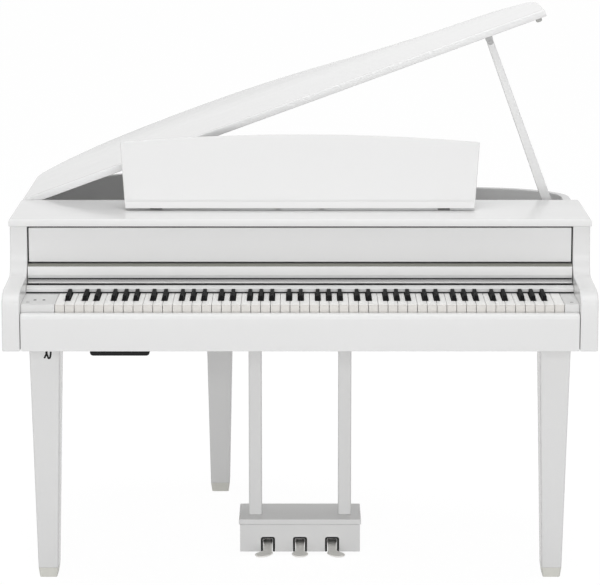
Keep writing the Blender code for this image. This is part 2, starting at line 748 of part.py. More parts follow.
def lid():
    """The lid, drawn closed and turned up on its hinge, with the two ears that hold the prop."""
    left = HINGE.x
    loops = []
    shape = bmesh.new()
    for inset, height in [(0.0, CASE_TOP)] + [
        (
            LID_ROUND * (1 - math.cos(math.radians(30 * step))),
            CASE_TOP + LID_WALL - LID_ROUND * (1 - math.sin(math.radians(30 * step))),
        )
        for step in range(4)
    ]:
        outline = outline_from(LID_FRONT + inset, inset, left)
        loops.append([shape.verts.new((x, y, height)) for x, y in outline])
    for one, two in zip(loops, loops[1:]):
        for index in range(len(one)):
            after = (index + 1) % len(one)
            shape.faces.new((one[index], one[after], two[after], two[index]))
    shape.faces.new(loops[0])
    shape.faces.new(loops[-1])
    turn = (0, -LID_ANGLE, 0)
    board = finish("lid", shape, LACQUER, HINGE, turn, smooth=30)
    ears = bmesh.new()
    across = HINGE.x + PROP_ALONG
    for depth in (PROP_DEPTH - RUN - EAR_WALL, PROP_DEPTH + PROP_THICK + RUN):
        low = (across - EAR_HALF, depth, CASE_TOP - EAR_LONG)
        box(low, (across + EAR_HALF, depth + EAR_WALL, CASE_TOP + LID_WALL / 4), ears)
    combine(board, finish("lid_ears", ears, STEEL, HINGE, turn), "UNION")


def lid_hinge():
    """The strip hinge along the straight side, fixed on top of the rim."""
    low = (HINGE_INSET - CASE_HALF, LID_FRONT + HINGE_ENDS, RIM_TOP + SEAT)
    high = (low[0] + HINGE_LEAF, TAIL_START[0] + HINGE_PAST_BEND, CASE_TOP - RUN)
    finish("lid_hinge", box(low, high), STEEL)


def lid_prop():
    """The prop, drawn hanging straight down from its axis and leant square to the lid."""
    axis = HINGE + PROP_ALONG * ALONG_LID + PROP_DROP * BELOW_LID
    outline = []
    for radius, centre, first in (
        (PROP_TOP_WIDTH / 2, axis.z, 0),
        (PROP_FOOT_WIDTH / 2, axis.z - PROP_LONG, 180),
    ):
        for step in range(9):
            angle = math.radians(first + 22.5 * step)
            outline.append((axis.x + radius * math.cos(angle), centre + radius * math.sin(angle)))
    shape = prism(outline, "Y", PROP_DEPTH, PROP_DEPTH + PROP_THICK)
    finish("lid_prop", shape, LACQUER, (axis.x, 0, axis.z), (0, -LID_ANGLE, 0), smooth=30)


def prop_cup():
    """The rest that the foot of the prop leans in, screwed to the inner face of the rim."""
    press = Vector((math.sin(CUP_SLOPE), 0, -math.cos(CUP_SLOPE)))
    along = Vector((math.cos(CUP_SLOPE), 0, math.sin(CUP_SLOPE)))
    touch = FOOT + (PROP_FOOT_WIDTH / 2 + SEAT) * press
    upper = touch + CUP_ABOVE * along
    lower = touch - CUP_BELOW * along
    outline = [
        (upper.x, upper.z),
        (lower.x, lower.z),
        (lower.x, lower.z - CUP_LIP),
        (RIM_INNER - SEAT, lower.z - 3 * CUP_LIP),
        (RIM_INNER - SEAT, upper.z),
    ]
    spare = 2 * EAR_WALL
    shape = prism(outline, "Y", PROP_DEPTH - spare, PROP_DEPTH + PROP_THICK + spare)
    finish("prop_cup", shape, BLACK)


def music_desk():
    """The desk, drawn upright on its hinge axis and leant back, with its ledge and two hinges."""
    face = DESK_DEPTH - DESK_BACK - DESK_WALL
    foot = DESK_AXIS.z - DESK_HINGE / 2
    outline = [(-DESK_LOW_HALF, foot), (DESK_LOW_HALF, foot)]
    for step in range(17):
        across = DESK_HIGH_HALF * (1 - step / 8)
        crown = (DESK_MIDDLE - DESK_SIDE) * (1 - (across / DESK_HIGH_HALF) ** 2)
        outline.append((across, DESK_AXIS.z + DESK_SIDE + crown))
    turn = (-DESK_LEAN, 0, 0)
    desk = finish("music_desk", prism(outline, "Y", face, face + DESK_WALL), LACQUER, DESK_AXIS, turn)
    ledge = [
        (face + DESK_WALL / 2, foot + SEAT),
        (face + DESK_WALL / 2, foot + LEDGE_WALL),
        (face - LEDGE_DEEP + LEDGE_LIP_FOOT, foot + LEDGE_WALL),
        (face - LEDGE_DEEP + LEDGE_LIP_WALL, foot + LEDGE_LIP),
        (face - LEDGE_DEEP, foot + LEDGE_LIP),
        (face - LEDGE_DEEP, foot + SEAT),
    ]
    half = DESK_LOW_HALF - SHADOW
    rail = prism(ledge, "X", -half, half)
    combine(desk, finish("music_desk_ledge", rail, LACQUER, DESK_AXIS, turn), "UNION")
    barrels = bmesh.new()
    for side in (-1, 1):
        middle = side * DESK_BARREL_AT
        ends = (middle - DESK_BARREL / 2, middle + DESK_BARREL / 2)
        rod("X", (DESK_AXIS.y, DESK_AXIS.z), *ends, DESK_HINGE, 16, barrels)
    combine(desk, finish("music_desk_hinges", barrels, BLACK, DESK_AXIS, turn), "UNION")


def desk_stay():
    """The plate behind the desk that it leans on, hinged on the top panel."""
    lean = Vector((0, math.sin(DESK_LEAN), math.cos(DESK_LEAN)))
    out = Vector((0, math.cos(DESK_LEAN), -math.sin(DESK_LEAN)))
    tip = DESK_AXIS + STAY_AT * lean + (STAY_WALL / 2 + SEAT - DESK_BACK) * out
    arm = tip - STAY_AXIS
    outline = []
    for centre, first in ((STAY_AXIS.z, 180), (STAY_AXIS.z + arm.length, 0)):
        for step in range(7):
            angle = math.radians(first + 30 * step)
            across = STAY_AXIS.y + STAY_WALL / 2 * math.cos(angle)
            outline.append((across, centre + STAY_WALL / 2 * math.sin(angle)))
    shape = prism(outline, "X", -STAY_HALF, STAY_HALF)
    finish("desk_stay", shape, STEEL, STAY_AXIS, (math.atan2(-arm.y, arm.z), 0, 0), smooth=30)


def inside():
    """The deck with the speakers, and the circuit board on the floor of the case."""
    deck = outline_from(DECK_FRONT, RIM_WALL + SEAT)
    board = finish("speaker_board", prism(deck, "Z", DECK_HEIGHT, DECK_HEIGHT + DECK_WALL), BLACK)
    face = DECK_HEIGHT + DECK_WALL + SEAT
    holes = bmesh.new()
    for name, from_side in (("speaker_left", LEFT_SPEAKER), ("speaker_right", RIGHT_SPEAKER)):
        centre = (from_side - CASE_HALF, SPEAKER_DEPTH)
        over = DECK_HEIGHT + 2 * DECK_WALL
        rod("Z", centre, DECK_HEIGHT - DECK_WALL, over, SPEAKER_HOLE, 28, holes)
        bottom = -SPEAKER_TALL
        well = SPEAKER_RIM - CONE_DEEP
        profile = [
            (0, well + DUST_CAP_RISE),
            (DUST_CAP / 2, well + 0.7 * DUST_CAP_RISE),
            (DUST_CAP, well),
            (CONE_RADIUS, SPEAKER_RIM - SURROUND_DROP),
            (CONE_RADIUS + SURROUND, SPEAKER_RIM),
            (SPEAKER_FLANGE, SPEAKER_RIM),
            (SPEAKER_FLANGE, 0),
            (SPEAKER_HOLE - RUN, 0),
            (SPEAKER_BASKET, bottom + MAGNET_TALL),
            (SPEAKER_BASKET, bottom),
            (0, bottom),
        ]
        finish(name, turned(profile, 28), BLACK, smooth=30).location = (*centre, face)
    combine(board, finish("speaker_holes", holes, BLACK), "DIFFERENCE")
    low = Vector((MAIN_BOARD_SIDE - CASE_HALF, MAIN_BOARD_FRONT, BED_TOP + SEAT))
    circuit = finish("main_board", box(low, low + Vector(MAIN_BOARD)), CIRCUIT)
    chips = bmesh.new()
    for across, back, side, tall in CHIPS:
        at = low + Vector((across, back, MAIN_BOARD[2] / 2))
        box(at, at + Vector((side, side, MAIN_BOARD[2] / 2 + tall)), chips)
    combine(circuit, finish("main_board_chips", chips, BLACK), "UNION")


def jack_box():
    """The black box under the keybed: two headphone sockets in front and the mains inlet behind."""
    left = JACK_LEFT - ARM_INNER
    right = left + JACK_WIDE
    top = CASE_BOTTOM - SEAT
    low = top - JACK_TALL
    shape = box((left, JACK_FRONT, low), (right, JACK_FRONT + JACK_DEEP, top))

    def lower_ends(one, two):
        return max(one.z, two.z) < low + SEAT and abs(one.x - two.x) < SEAT

    soften(shape, JACK_ROUND, lower_ends, 4)
    body = finish("jack_box", shape, BLACK, smooth=30)
    height = low + JACK_TALL / 2
    holes = bmesh.new()
    for across in SOCKETS:
        ends = (JACK_FRONT - SEAT, JACK_FRONT + SOCKET_DEEP)
        rod("Y", (left + across, height), *ends, SOCKET_RADIUS, 16, holes)
    middle = left + JACK_WIDE / 2
    wide, deep, tall = INLET
    back = JACK_FRONT + JACK_DEEP
    corner = (middle + wide / 2, back + SEAT, height + tall / 2)
    box((middle - wide / 2, back - deep, height - tall / 2), corner, holes)
    combine(body, finish("jack_box_holes", holes, BLACK), "DIFFERENCE")


def headphone_hook():
    """A small double hook under the left end of the keybed."""
    across = HOOK_FROM_ARM - ARM_INNER
    top = CASE_BOTTOM - SEAT
    wide, deep, thick = HOOK_PLATE
    half = [
        (HOOK_STEM, 0.0),
        (HOOK_STEM, -0.47 * HOOK_DROP),
        (0.40 * HOOK_THROAT, -0.62 * HOOK_DROP),
        (0.72 * HOOK_THROAT, -0.69 * HOOK_DROP),
        (HOOK_THROAT, -0.60 * HOOK_DROP),
        (HOOK_THROAT + HOOK_TAPER, -HOOK_TIP),
        (HOOK_REACH, -HOOK_TIP),
        (HOOK_REACH - HOOK_TAPER, -0.66 * HOOK_DROP),
        (0.72 * HOOK_REACH, -0.88 * HOOK_DROP),
        (0.35 * HOOK_REACH, -HOOK_DROP),
    ]
    outline = [(across + x, top - thick / 2 + z) for x, z in half]
    outline += [(across - x, top - thick / 2 + z) for x, z in reversed(half)]
    shape = prism(outline, "Y", HOOK_DEPTH - HOOK_WALL / 2, HOOK_DEPTH + HOOK_WALL / 2)
    hook = finish("headphone_hook", shape, BLACK)
    low = (across - wide / 2, HOOK_DEPTH - deep / 2, top - thick)
    plate = box(low, (across + wide / 2, HOOK_DEPTH + deep / 2, top))
    combine(hook, finish("headphone_hook_plate", plate, BLACK), "UNION")


def tapered(name, across, upper, lower, top, bottom, paint):
    """A four-sided post between an upper and a lower rectangle, with rounded corners."""
    shape = bmesh.new()
    loops = []
    for (front, wide, deep), height in ((lower, bottom), (upper, top)):
        corners = ((-1, 0), (1, 0), (1, 1), (-1, 1))
        loop = []
        for side, behind in corners:
            at = (across + side * wide / 2, front + behind * deep, height)
            loop.append(shape.verts.new(at))
        loops.append(loop)
    shape.faces.new(loops[0])
    shape.faces.new(loops[1])
    for index in range(4):
        after = (index + 1) % 4
        shape.faces.new((loops[0][index], loops[0][after], loops[1][after], loops[1][index]))
    soften(shape, LEG_ROUND, lambda one, two: abs(one.z - two.z) > (top - bottom) / 2, 3)
    finish(name, shape, paint, smooth=30)


def legs():
    """Two front legs and one rear leg, each with a cap of its own on the floor."""
    front_at = CASE_HALF - LEG_FROM_SIDE
    for name, across, upper, lower in (
        ("front_left", -front_at, FRONT_LEG_TOP, FRONT_LEG_FOOT),
        ("front_right", front_at, FRONT_LEG_TOP, FRONT_LEG_FOOT),
        ("rear", REAR_LEG_AT, REAR_LEG_TOP, REAR_LEG_FOOT),
    ):
        top = CASE_BOTTOM - SEAT
        tapered(name + "_leg", across, upper, lower, top, CAP_TALL + SEAT, LACQUER)
        front, wide, deep = lower
        narrow = (front + CAP_TAPER, wide - 2 * CAP_TAPER, deep - 2 * CAP_TAPER)
        tapered(name + "_foot", across, lower, narrow, CAP_TALL, 0.0, CREAM)


def lyre():
    """The two posts, the pedal box with its slots, and the adjuster under it."""
    box_top = BOX_LOW + BOX_TALL + BOX_CAP_WALL
    for name, side in (("left_lyre_post", -1), ("right_lyre_post", 1)):
        across = side * POST_AT
        low = (across - POST_SIDE / 2, POST_DEPTH, box_top + SEAT)
        high = (across + POST_SIDE / 2, POST_DEPTH + POST_SIDE, CASE_BOTTOM - SEAT)
        shape = box(low, high)
        soften(shape, POST_ROUND, lambda one, two: abs(one.z - two.z) > POST_SIDE, 3)
        finish(name, shape, LACQUER, smooth=30)
    body = box(
        (-BOX_HALF, BOX_FRONT, BOX_LOW),
        (BOX_HALF, BOX_FRONT + BOX_DEEP, BOX_LOW + BOX_TALL + BOX_CAP_WALL / 2),
    )
    pedal_box = finish("pedal_box", body, LACQUER)
    over = BOX_CAP_OVER
    cap = box(
        (-BOX_HALF - over, BOX_FRONT - over, BOX_LOW + BOX_TALL),
        (BOX_HALF + over, BOX_FRONT + BOX_DEEP + over, box_top),
    )
    soften(cap, BOX_CAP_ROUND, lambda one, two: min(one.z, two.z) > box_top - SEAT)
    combine(pedal_box, finish("pedal_box_cap", cap, LACQUER), "UNION")
    slots = bmesh.new()
    for side in (-1, 0, 1):
        across = side * PEDAL_AT
        low = (across - SLOT_WIDE / 2, BOX_FRONT - SLOT_WIDE, BOX_LOW - SLOT_TALL)
        high = (across + SLOT_WIDE / 2, BOX_FRONT + SLOT_DEEP, BOX_LOW + SLOT_TALL)
        box(low, high, slots)
    combine(pedal_box, finish("pedal_box_slots", slots, BLACK), "DIFFERENCE")
    depth = BOX_FRONT + (SLOT_DEEP + BOX_DEEP) / 2
    foot = rod("Z", (0, depth), 0.0, BOX_LOW - SEAT, ADJUSTER_RADIUS, 20)
    finish("pedal_adjuster", foot, CREAM, smooth=30)


def pedals():
    """The three pedals. The outer two curve away from the middle."""
    for name, side in (("left_pedal", -1), ("middle_pedal", 0), ("right_pedal", 1)):
        across = side * PEDAL_AT
        toe = across + side * PEDAL_OUTWARD
        flare = PEDAL_TIP + PEDAL_FLARE
        widest = PEDAL_TIP + PEDAL_TOE_LONG
        knots = (
            (across - PEDAL_NECK, flare, -90, PEDAL_CURVE),
            (toe - PEDAL_TOE, widest, -90, PEDAL_CURVE),
            (toe, PEDAL_TIP, 0, PEDAL_CURVE),
            (toe + PEDAL_TOE, widest, 90, PEDAL_CURVE),
            (across + PEDAL_NECK, flare, 90, PEDAL_CURVE),
        )
        outline = smooth_path(knots, 6)
        outline += [(across + PEDAL_NECK, PEDAL_PIVOT), (across - PEDAL_NECK, PEDAL_PIVOT)]
        shape = prism(outline, "Z", PEDAL_LOW, PEDAL_LOW + PEDAL_WALL)
        axis = Vector((across, PEDAL_PIVOT, PEDAL_LOW + PEDAL_WALL / 2))
        pedal = finish(name, shape, METAL, axis, smooth=30)
        half = SLOT_WIDE / 2 - RUN
        hub = rod("X", (axis.y, axis.z), across - half, across + half, PEDAL_HUB, 16)
        combine(pedal, finish(name + "_hub", hub, METAL, axis), "UNION")


arms()
rim()
case_boards()
key_slip()
top_panel()
name_board()
key_blocks()
back_strip()
key_cover()
key_frame()
keys()
lid()
lid_hinge()
lid_prop()
prop_cup()
music_desk()
desk_stay()
inside()
jack_box()
headphone_hook()
legs()
lyre()
pedals()
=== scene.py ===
"""A white digital grand piano with its lid up: how each piece is made and finished, and the studio.

Metres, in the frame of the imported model: +Z up, the player at -Y, the bass keys at -X.
"""

import json
import math

import bmesh
import bpy
from mathutils import Matrix, Vector


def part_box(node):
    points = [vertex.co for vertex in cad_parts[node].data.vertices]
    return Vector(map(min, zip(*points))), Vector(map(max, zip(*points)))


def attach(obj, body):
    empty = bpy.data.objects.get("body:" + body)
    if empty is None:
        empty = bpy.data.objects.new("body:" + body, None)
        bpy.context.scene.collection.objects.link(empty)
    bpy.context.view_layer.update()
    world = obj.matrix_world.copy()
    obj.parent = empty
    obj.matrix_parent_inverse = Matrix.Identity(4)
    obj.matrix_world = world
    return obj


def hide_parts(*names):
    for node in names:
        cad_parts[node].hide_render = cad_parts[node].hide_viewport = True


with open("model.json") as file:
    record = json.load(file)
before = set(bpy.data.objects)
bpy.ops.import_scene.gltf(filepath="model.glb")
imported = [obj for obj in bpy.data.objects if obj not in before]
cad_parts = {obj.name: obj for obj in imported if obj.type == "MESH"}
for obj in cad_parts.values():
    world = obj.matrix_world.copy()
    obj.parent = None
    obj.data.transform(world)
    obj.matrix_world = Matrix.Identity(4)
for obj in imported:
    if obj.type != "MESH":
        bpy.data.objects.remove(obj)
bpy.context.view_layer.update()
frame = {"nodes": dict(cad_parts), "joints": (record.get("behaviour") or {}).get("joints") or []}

# Bent rim
# One wall of laminated board bends round the back of the case, from the left cheek to the right.
# It is sprayed with white polyester lacquer, flatted and polished, and its top edges are eased.
RIM_LOW, RIM_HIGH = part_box("rim")
RIM_WALL = 0.022
BEND_STEPS = 26
SHARP = math.radians(32)
SCENE = bpy.context.scene.collection


def sign(operation, swapped=False):
    """A method of Wire that adds one Math node."""
    return lambda one, two: one.math(operation, *((two, one) if swapped else (one, two)))


class Wire:
    """A node's output, or a bare tree, that grows nodes. A sum on wires adds its Math nodes."""

    __add__ = __radd__ = sign("ADD")
    __sub__ = sign("SUBTRACT")
    __rsub__ = sign("SUBTRACT", swapped=True)
    __mul__ = __rmul__ = sign("MULTIPLY")
    __truediv__ = sign("DIVIDE")
    __mod__ = sign("FLOORED_MODULO")
    __gt__ = sign("GREATER_THAN")

    def __init__(self, tree, socket=None):
        self.tree = tree
        self.socket = socket

    def node(self, kind, inputs=None, output=0, **settings):
        """Add a node: its settings first, then the values or links of its sockets."""
        made = self.tree.nodes.new(kind)
        for name, value in settings.items():
            setattr(made, name, value)
        for name, value in (inputs or {}).items():
            if isinstance(value, Wire):
                self.tree.links.new(value.socket, made.inputs[name])
            else:
                made.inputs[name].default_value = value
        return Wire(self.tree, made.outputs[output] if made.outputs else None)

    def math(self, operation, *values):
        return self.node("ShaderNodeMath", dict(enumerate(values)), operation=operation)

    def noise(self, place, scale, detail=2.0, rough=0.5):
        """Cloudy noise from 0 to 1. A scale of three numbers draws it out along the axes."""
        if isinstance(scale, tuple):
            place = self.node("ShaderNodeMapping", {"Vector": place, "Scale": scale})
            scale = 1.0
        sockets = {"Vector": place, "Scale": scale, "Detail": detail, "Roughness": rough}
        return self.node("ShaderNodeTexNoise", sockets)

    def tint(self, factor, one, two):
        """A colour between two, by a factor."""
        sockets = {0: factor, 6: (*one, 1.0), 7: (*two, 1.0)}
        return self.node("ShaderNodeMix", sockets, output=2, data_type="RGBA")

    def bump(self, height, strength, distance):
        sockets = {"Height": height, "Strength": strength, "Distance": distance}
        return self.node("ShaderNodeBump", sockets)


def finish(name, dress, **fixed):
    """A material. Constants go on the shader's own sockets, and dress() adds what varies."""
    made = bpy.data.materials.new(name)
    made.use_nodes = True
    shader = made.node_tree.nodes["Principled BSDF"]
    for label, value in fixed.items():
        shader.inputs[label.replace("_", " ")].default_value = value
    root = Wire(made.node_tree)
    place = root.node("ShaderNodeTexCoord", output="Object")
    for label, wire in dress(root, place).items():
        made.node_tree.links.new(wire.socket, shader.inputs[label])
    return made


def lacquer_dress(root, place):
    """Polished polyester: a breath of orange peel, and polishing haze that comes and goes."""
    cloud = root.noise(place, 1.7, 3.0)
    haze = root.noise(place, 9.0, 4.0, 0.6)
    peel = root.noise(place, 260.0, 1.0)
    swirl = root.noise(place, (84.0, 84.0, 240.0), 3.0)
    return {
        "Base Color": root.tint(cloud, (0.800, 0.800, 0.797), (0.818, 0.818, 0.818)),
        "Roughness": 0.13 + 0.12 * haze * haze + 0.04 * swirl,
        "Normal": root.bump(peel, 0.06, 0.0002),
    }


LACQUER = finish(
    "white_polyester_lacquer", lacquer_dress, Specular_IOR_Level=0.12, Coat_Weight=0.05, Coat_Roughness=0.05
)


def smooth_path(knots, steps, inset=0.0):
    """Points on Bezier curves through knots of (a, b, heading in degrees, reach of the handles)."""
    points = []
    for (a0, b0, turn0, reach0), (a1, b1, turn1, reach1) in zip(knots, knots[1:]):
        start = Vector((a0, b0))
        end = Vector((a1, b1))
        leave = start + reach0 * Vector((math.cos(math.radians(turn0)), math.sin(math.radians(turn0))))
        arrive = end - reach1 * Vector((math.cos(math.radians(turn1)), math.sin(math.radians(turn1))))
        for step in range(1 if points else 0, steps + 1):
            t = step / steps
            s = 1 - t
            at = s**3 * start + 3 * s * s * t * leave + 3 * s * t * t * arrive + t**3 * end
            way = s * s * (leave - start) + 2 * s * t * (arrive - leave) + t * t * (end - arrive)
            way.normalize()
            points.append((at.x + inset * way.y, at.y - inset * way.x))
    return points


def bent_side(inset, left=RIM_LOW.x):
    """The curved back, from the left side round the tail to the right side, seen from above."""
    right = RIM_HIGH.x
    tail = RIM_HIGH.y
    knots = (
        (left, tail - 0.300, 90, 0.090),
        (RIM_LOW.x + 0.237, tail - 0.038, 18, 0.100),
        (RIM_LOW.x + 0.490, tail, 0, 0.100),
        (RIM_LOW.x + 0.827, tail - 0.114, -34, 0.130),
        (right - 0.312, tail - 0.278, -20, 0.090),
        (right - 0.122, tail - 0.327, -22, 0.060),
        (right, tail - 0.473, -90, 0.075),
    )
    return smooth_path(knots, BEND_STEPS, inset)


def case_outline(front, inset, left=RIM_LOW.x):
    """The closed outline of a board that fills the bent side, from a front edge back."""
    return [(left + inset, front)] + bent_side(inset, left) + [(RIM_HIGH.x - inset, front)]


def skin(loops, shape=None):
    """A closed body over rings of points."""
    shape = shape or bmesh.new()
    rows = [[shape.verts.new(point) for point in loop] for loop in loops]
    for one, two in zip(rows, rows[1:]):
        for index in range(len(one)):
            after = (index + 1) % len(one)
            shape.faces.new((one[index], one[after], two[after], two[index]))
    shape.faces.new(rows[0])
    shape.faces.new(rows[-1])
    return shape


def stock(name, shape, holder=None):
    """An object made of a shape. Without a collection to hold it, it is only there to be copied."""
    mesh = bpy.data.meshes.new(name)
    shape.to_mesh(mesh)
    shape.free()
    made = bpy.data.objects.new(name, mesh)
    if holder:
        holder.objects.link(made)
    return made


def make(name, shape, paint, body, slot, *nodes, ease=0.0, turns=3):
    """Turn a bmesh into a piece that rides on a body and stands for CAD nodes."""
    bmesh.ops.recalc_face_normals(shape, faces=shape.faces)
    made = stock(name, shape, SCENE)
    made.data.shade_smooth()
    made.data.materials.append(paint)
    if ease:
        edges = made.modifiers.new("eased edges", "BEVEL")
        edges.width = ease
        edges.segments = turns
        edges.limit_method = "ANGLE"
        edges.angle_limit = SHARP
        edges.harden_normals = True
    else:
        made.data.set_sharp_from_angle(angle=SHARP)
    return fit(made, body, slot, *nodes)


def fit(made, body, slot, *nodes):
    """Let a finished piece ride on a body and stand for CAD nodes. The slot is not used."""
    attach(made, body)
    if nodes:
        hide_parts(*nodes)
    return made


corners = ((0.0, RIM_LOW.z), (0.0, RIM_HIGH.z), (RIM_WALL, RIM_HIGH.z), (RIM_WALL, RIM_LOW.z))
outlines = [[(x, y, height) for x, y in case_outline(RIM_LOW.y, inset)] for inset, height in corners]
make("bent_rim", skin(zip(*outlines)), LACQUER, "case", "lacquer", "rim", ease=0.003)


# Keybed, bottom board and cross beam
# Flat boards of fibreboard that carry everything. Nobody sees them, so they only get a thin pale
# primer, and each is screwed to its neighbours from below.
def coat(name, dark, light, grain, bump, rough=None, cloud=None, share=1.0, **fixed):
    """A finish that varies with a fine grain and a broad cloud, both as noise() takes them.

    The cloud has a share in the tint between dark and light, and the grain has the rest. Bump is a
    strength and a depth for the grain. Rough is a base, then what the grain and the cloud add to it.
    """

    def dress(root, place):
        fine = root.noise(place, *grain)
        broad = root.noise(place, *cloud) if cloud else fine
        tint = share * broad + (1 - share) * fine
        varied = {"Base Color": root.tint(tint, dark, light), "Normal": root.bump(fine, *bump)}
        if rough:
            base, by_grain, by_cloud = rough
            varied["Roughness"] = base + by_grain * fine + by_cloud * broad
        return varied

    return finish(name, dress, **fixed)


PRIMED_BOARD = coat(
    # Short pressed fibres show through the primer, which lies in faint clouds.
    "primed_fibreboard", (0.56, 0.55, 0.53), (0.68, 0.675, 0.66), grain=((240.0, 900.0, 240.0), 4.0, 0.7),
    bump=(0.25, 0.0003), rough=(0.62, 0.2, 0.0), cloud=(6.0, 3.0), share=0.5,
)


def repaint(paint, *nodes):
    """Give a finish to CAD nodes that are shown as they are."""
    for node in nodes:
        frame["nodes"][node].material_slots[0].material = paint


repaint(PRIMED_BOARD, "keybed", "bottom_board", "key_frame")
repaint(LACQUER, "crossbeam")

# Arms
# The two side boards that frame the keyboard. Each is cut to the scroll that the player sees, its
# front edges are rounded over, and it takes the same lacquer as the rim.
ARM_NOSE = 0.113
ARM_SHELF = 0.144
ARM_SHELF_RISE = 0.005
ARM_NECK_FOOT = 0.202
ARM_DEPTHS = (0.057, 0.178, 0.220)


def prism(outline, axis, low, high, shape=None):
    """A flat outline, drawn in the two other axes, pushed from low to high along an axis."""
    at = "XYZ".index(axis)
    loops = [[(*point[:at], along, *point[at:]) for point in outline] for along in (low, high)]
    return skin(loops, shape)


for side in ("left", "right"):
    low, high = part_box(side + "_arm")
    scroll = (
        (low.y, low.z + ARM_NOSE, 90, 0.018),
        (low.y + ARM_DEPTHS[0], low.z + ARM_SHELF, 3, 0.030),
        (low.y + ARM_DEPTHS[1], low.z + ARM_SHELF + ARM_SHELF_RISE, 3, 0.030),
        (low.y + ARM_DEPTHS[2], low.z + ARM_NECK_FOOT, 90, 0.030),
    )
    profile = [(low.y, low.z)] + smooth_path(scroll, 14)
    profile += [(low.y + ARM_DEPTHS[2], high.z), (high.y, high.z), (high.y, low.z)]
    arm = prism(profile, "X", low.x, high.x)
    make(side + "_side_arm", arm, LACQUER, "case", "lacquer", side + "_arm", ease=0.0032, turns=4)

# Key slip
# The rail in front of the keys. Its top front edge is rounded well over, so that the player's thumbs
# slide off it. It is lacquered before it is screwed to the keybed, with a fine joint at each end.
SLIP_LOW, SLIP_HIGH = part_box("key_slip")
SLIP_ROUND = 0.012
SLIP_GAP = 0.0015


def arc(a, b, radius, first, turn, steps):
    """Points about (a, b), from a first heading on over a turn, both in degrees."""
    angles = [math.radians(first + turn * step / steps) for step in range(steps + 1)]
    return [(a + radius * math.cos(angle), b + radius * math.sin(angle)) for angle in angles]


profile = [(SLIP_LOW.y, SLIP_LOW.z)]
profile += arc(SLIP_LOW.y + SLIP_ROUND, SLIP_HIGH.z - SLIP_ROUND, SLIP_ROUND, 180, -90, 12)
profile += [(SLIP_HIGH.y, SLIP_HIGH.z), (SLIP_HIGH.y, SLIP_LOW.z)]
slip = prism(profile, "X", SLIP_LOW.x + SLIP_GAP, SLIP_HIGH.x - SLIP_GAP)
make("slip_rail", slip, LACQUER, "case", "lacquer", "key_slip", ease=0.0012)

# Name board
# A bare white face on a black core. The core is a little wider than the face, and its black is
# painted shade: it makes the dark line round the face. It ends in a tongue that sits in a groove
# under the top.
BLACK_PLASTIC_AND_SHADE = coat(
    # Moulded black plastic with a fine sandy grain. The same black is painted shade on the name board's core
    # and in the pedal slots.
    "grained_black_plastic_and_shade", (0.005, 0.005, 0.0055), (0.010, 0.010, 0.0105), grain=(900.0, 2.0),
    bump=(0.30, 0.0002), rough=(0.42, 0.16, 0.0), cloud=(20.0, 2.0), Specular_IOR_Level=0.15,
)
BOARD_LOW, BOARD_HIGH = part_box("name_board")
BOARD_FACE_TOP = BOARD_HIGH.z - 0.0047
BOARD_FACE_WALL = 0.006
BOARD_FACE_GAP = 0.0032
SHADOW = 0.002


def oblong(a0, b0, a1, b1):
    """The outline of a rectangle between two corners."""
    return [(a0, b0), (a1, b0), (a1, b1), (a0, b1)]


def box(low, high, shape=None):
    """A plain box between two corners."""
    return prism(oblong(*low[:2], *high[:2]), "Z", low[2], high[2], shape)


face = box(
    (BOARD_LOW.x + BOARD_FACE_GAP, BOARD_LOW.y, BOARD_LOW.z),
    (BOARD_HIGH.x - BOARD_FACE_GAP, BOARD_LOW.y + BOARD_FACE_WALL, BOARD_FACE_TOP),
)
make("name_board_face", face, LACQUER, "case", "lacquer", "name_board", ease=0.0011)
core = box((BOARD_LOW.x, BOARD_LOW.y + BOARD_FACE_WALL, BOARD_LOW.z + SHADOW), BOARD_HIGH)
# The core's black is painted shade: it is what shows in the gaps round the face.
make("name_board_core", core, BLACK_PLASTIC_AND_SHADE, "case", "black_board", ease=0.0004, turns=2)

# Top board
# The fixed front part of the top, which the music desk stands on. It laps over the arms at both ends
# and its upper edge is rounded to a soft nose.
TOP_LOW, TOP_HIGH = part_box("top_panel")
TOP_ROUND = 0.007


def soften(shape, radius, chosen, segments):
    """Round the edges that a test picks from their two ends."""
    bmesh.ops.recalc_face_normals(shape, faces=shape.faces)
    edges = [edge for edge in shape.edges if chosen(edge.verts[0].co, edge.verts[1].co)]
    bmesh.ops.bevel(shape, geom=edges, offset=radius, segments=segments, affect="EDGES", profile=0.5)


def upper_rim(one, two):
    """True for the top edges at the front and the ends."""
    return min(one.z, two.z) > TOP_HIGH.z - SHADOW and min(one.y, two.y) < TOP_HIGH.y - SHADOW


top = box(TOP_LOW, TOP_HIGH)
soften(top, TOP_ROUND, upper_rim, 7)
make("top_board", top, LACQUER, "case", "lacquer", "top_panel", ease=0.0010)

# Key blocks and buttons
# Wooden blocks in satin grey-white paint fill the two ends of the key compartment. Small moulded
# buttons stand in wells drilled in them, each on its own switch.
BLOCK_PAINT = coat(
    # Satin paint over primer, a little mottled.
    "satin_grey_white_paint", (0.70, 0.70, 0.695), (0.74, 0.74, 0.735), grain=(700.0, 2.0),
    bump=(0.10, 0.0002), rough=(0.26, 0.10, 0.0), cloud=(30.0, 3.0),
)
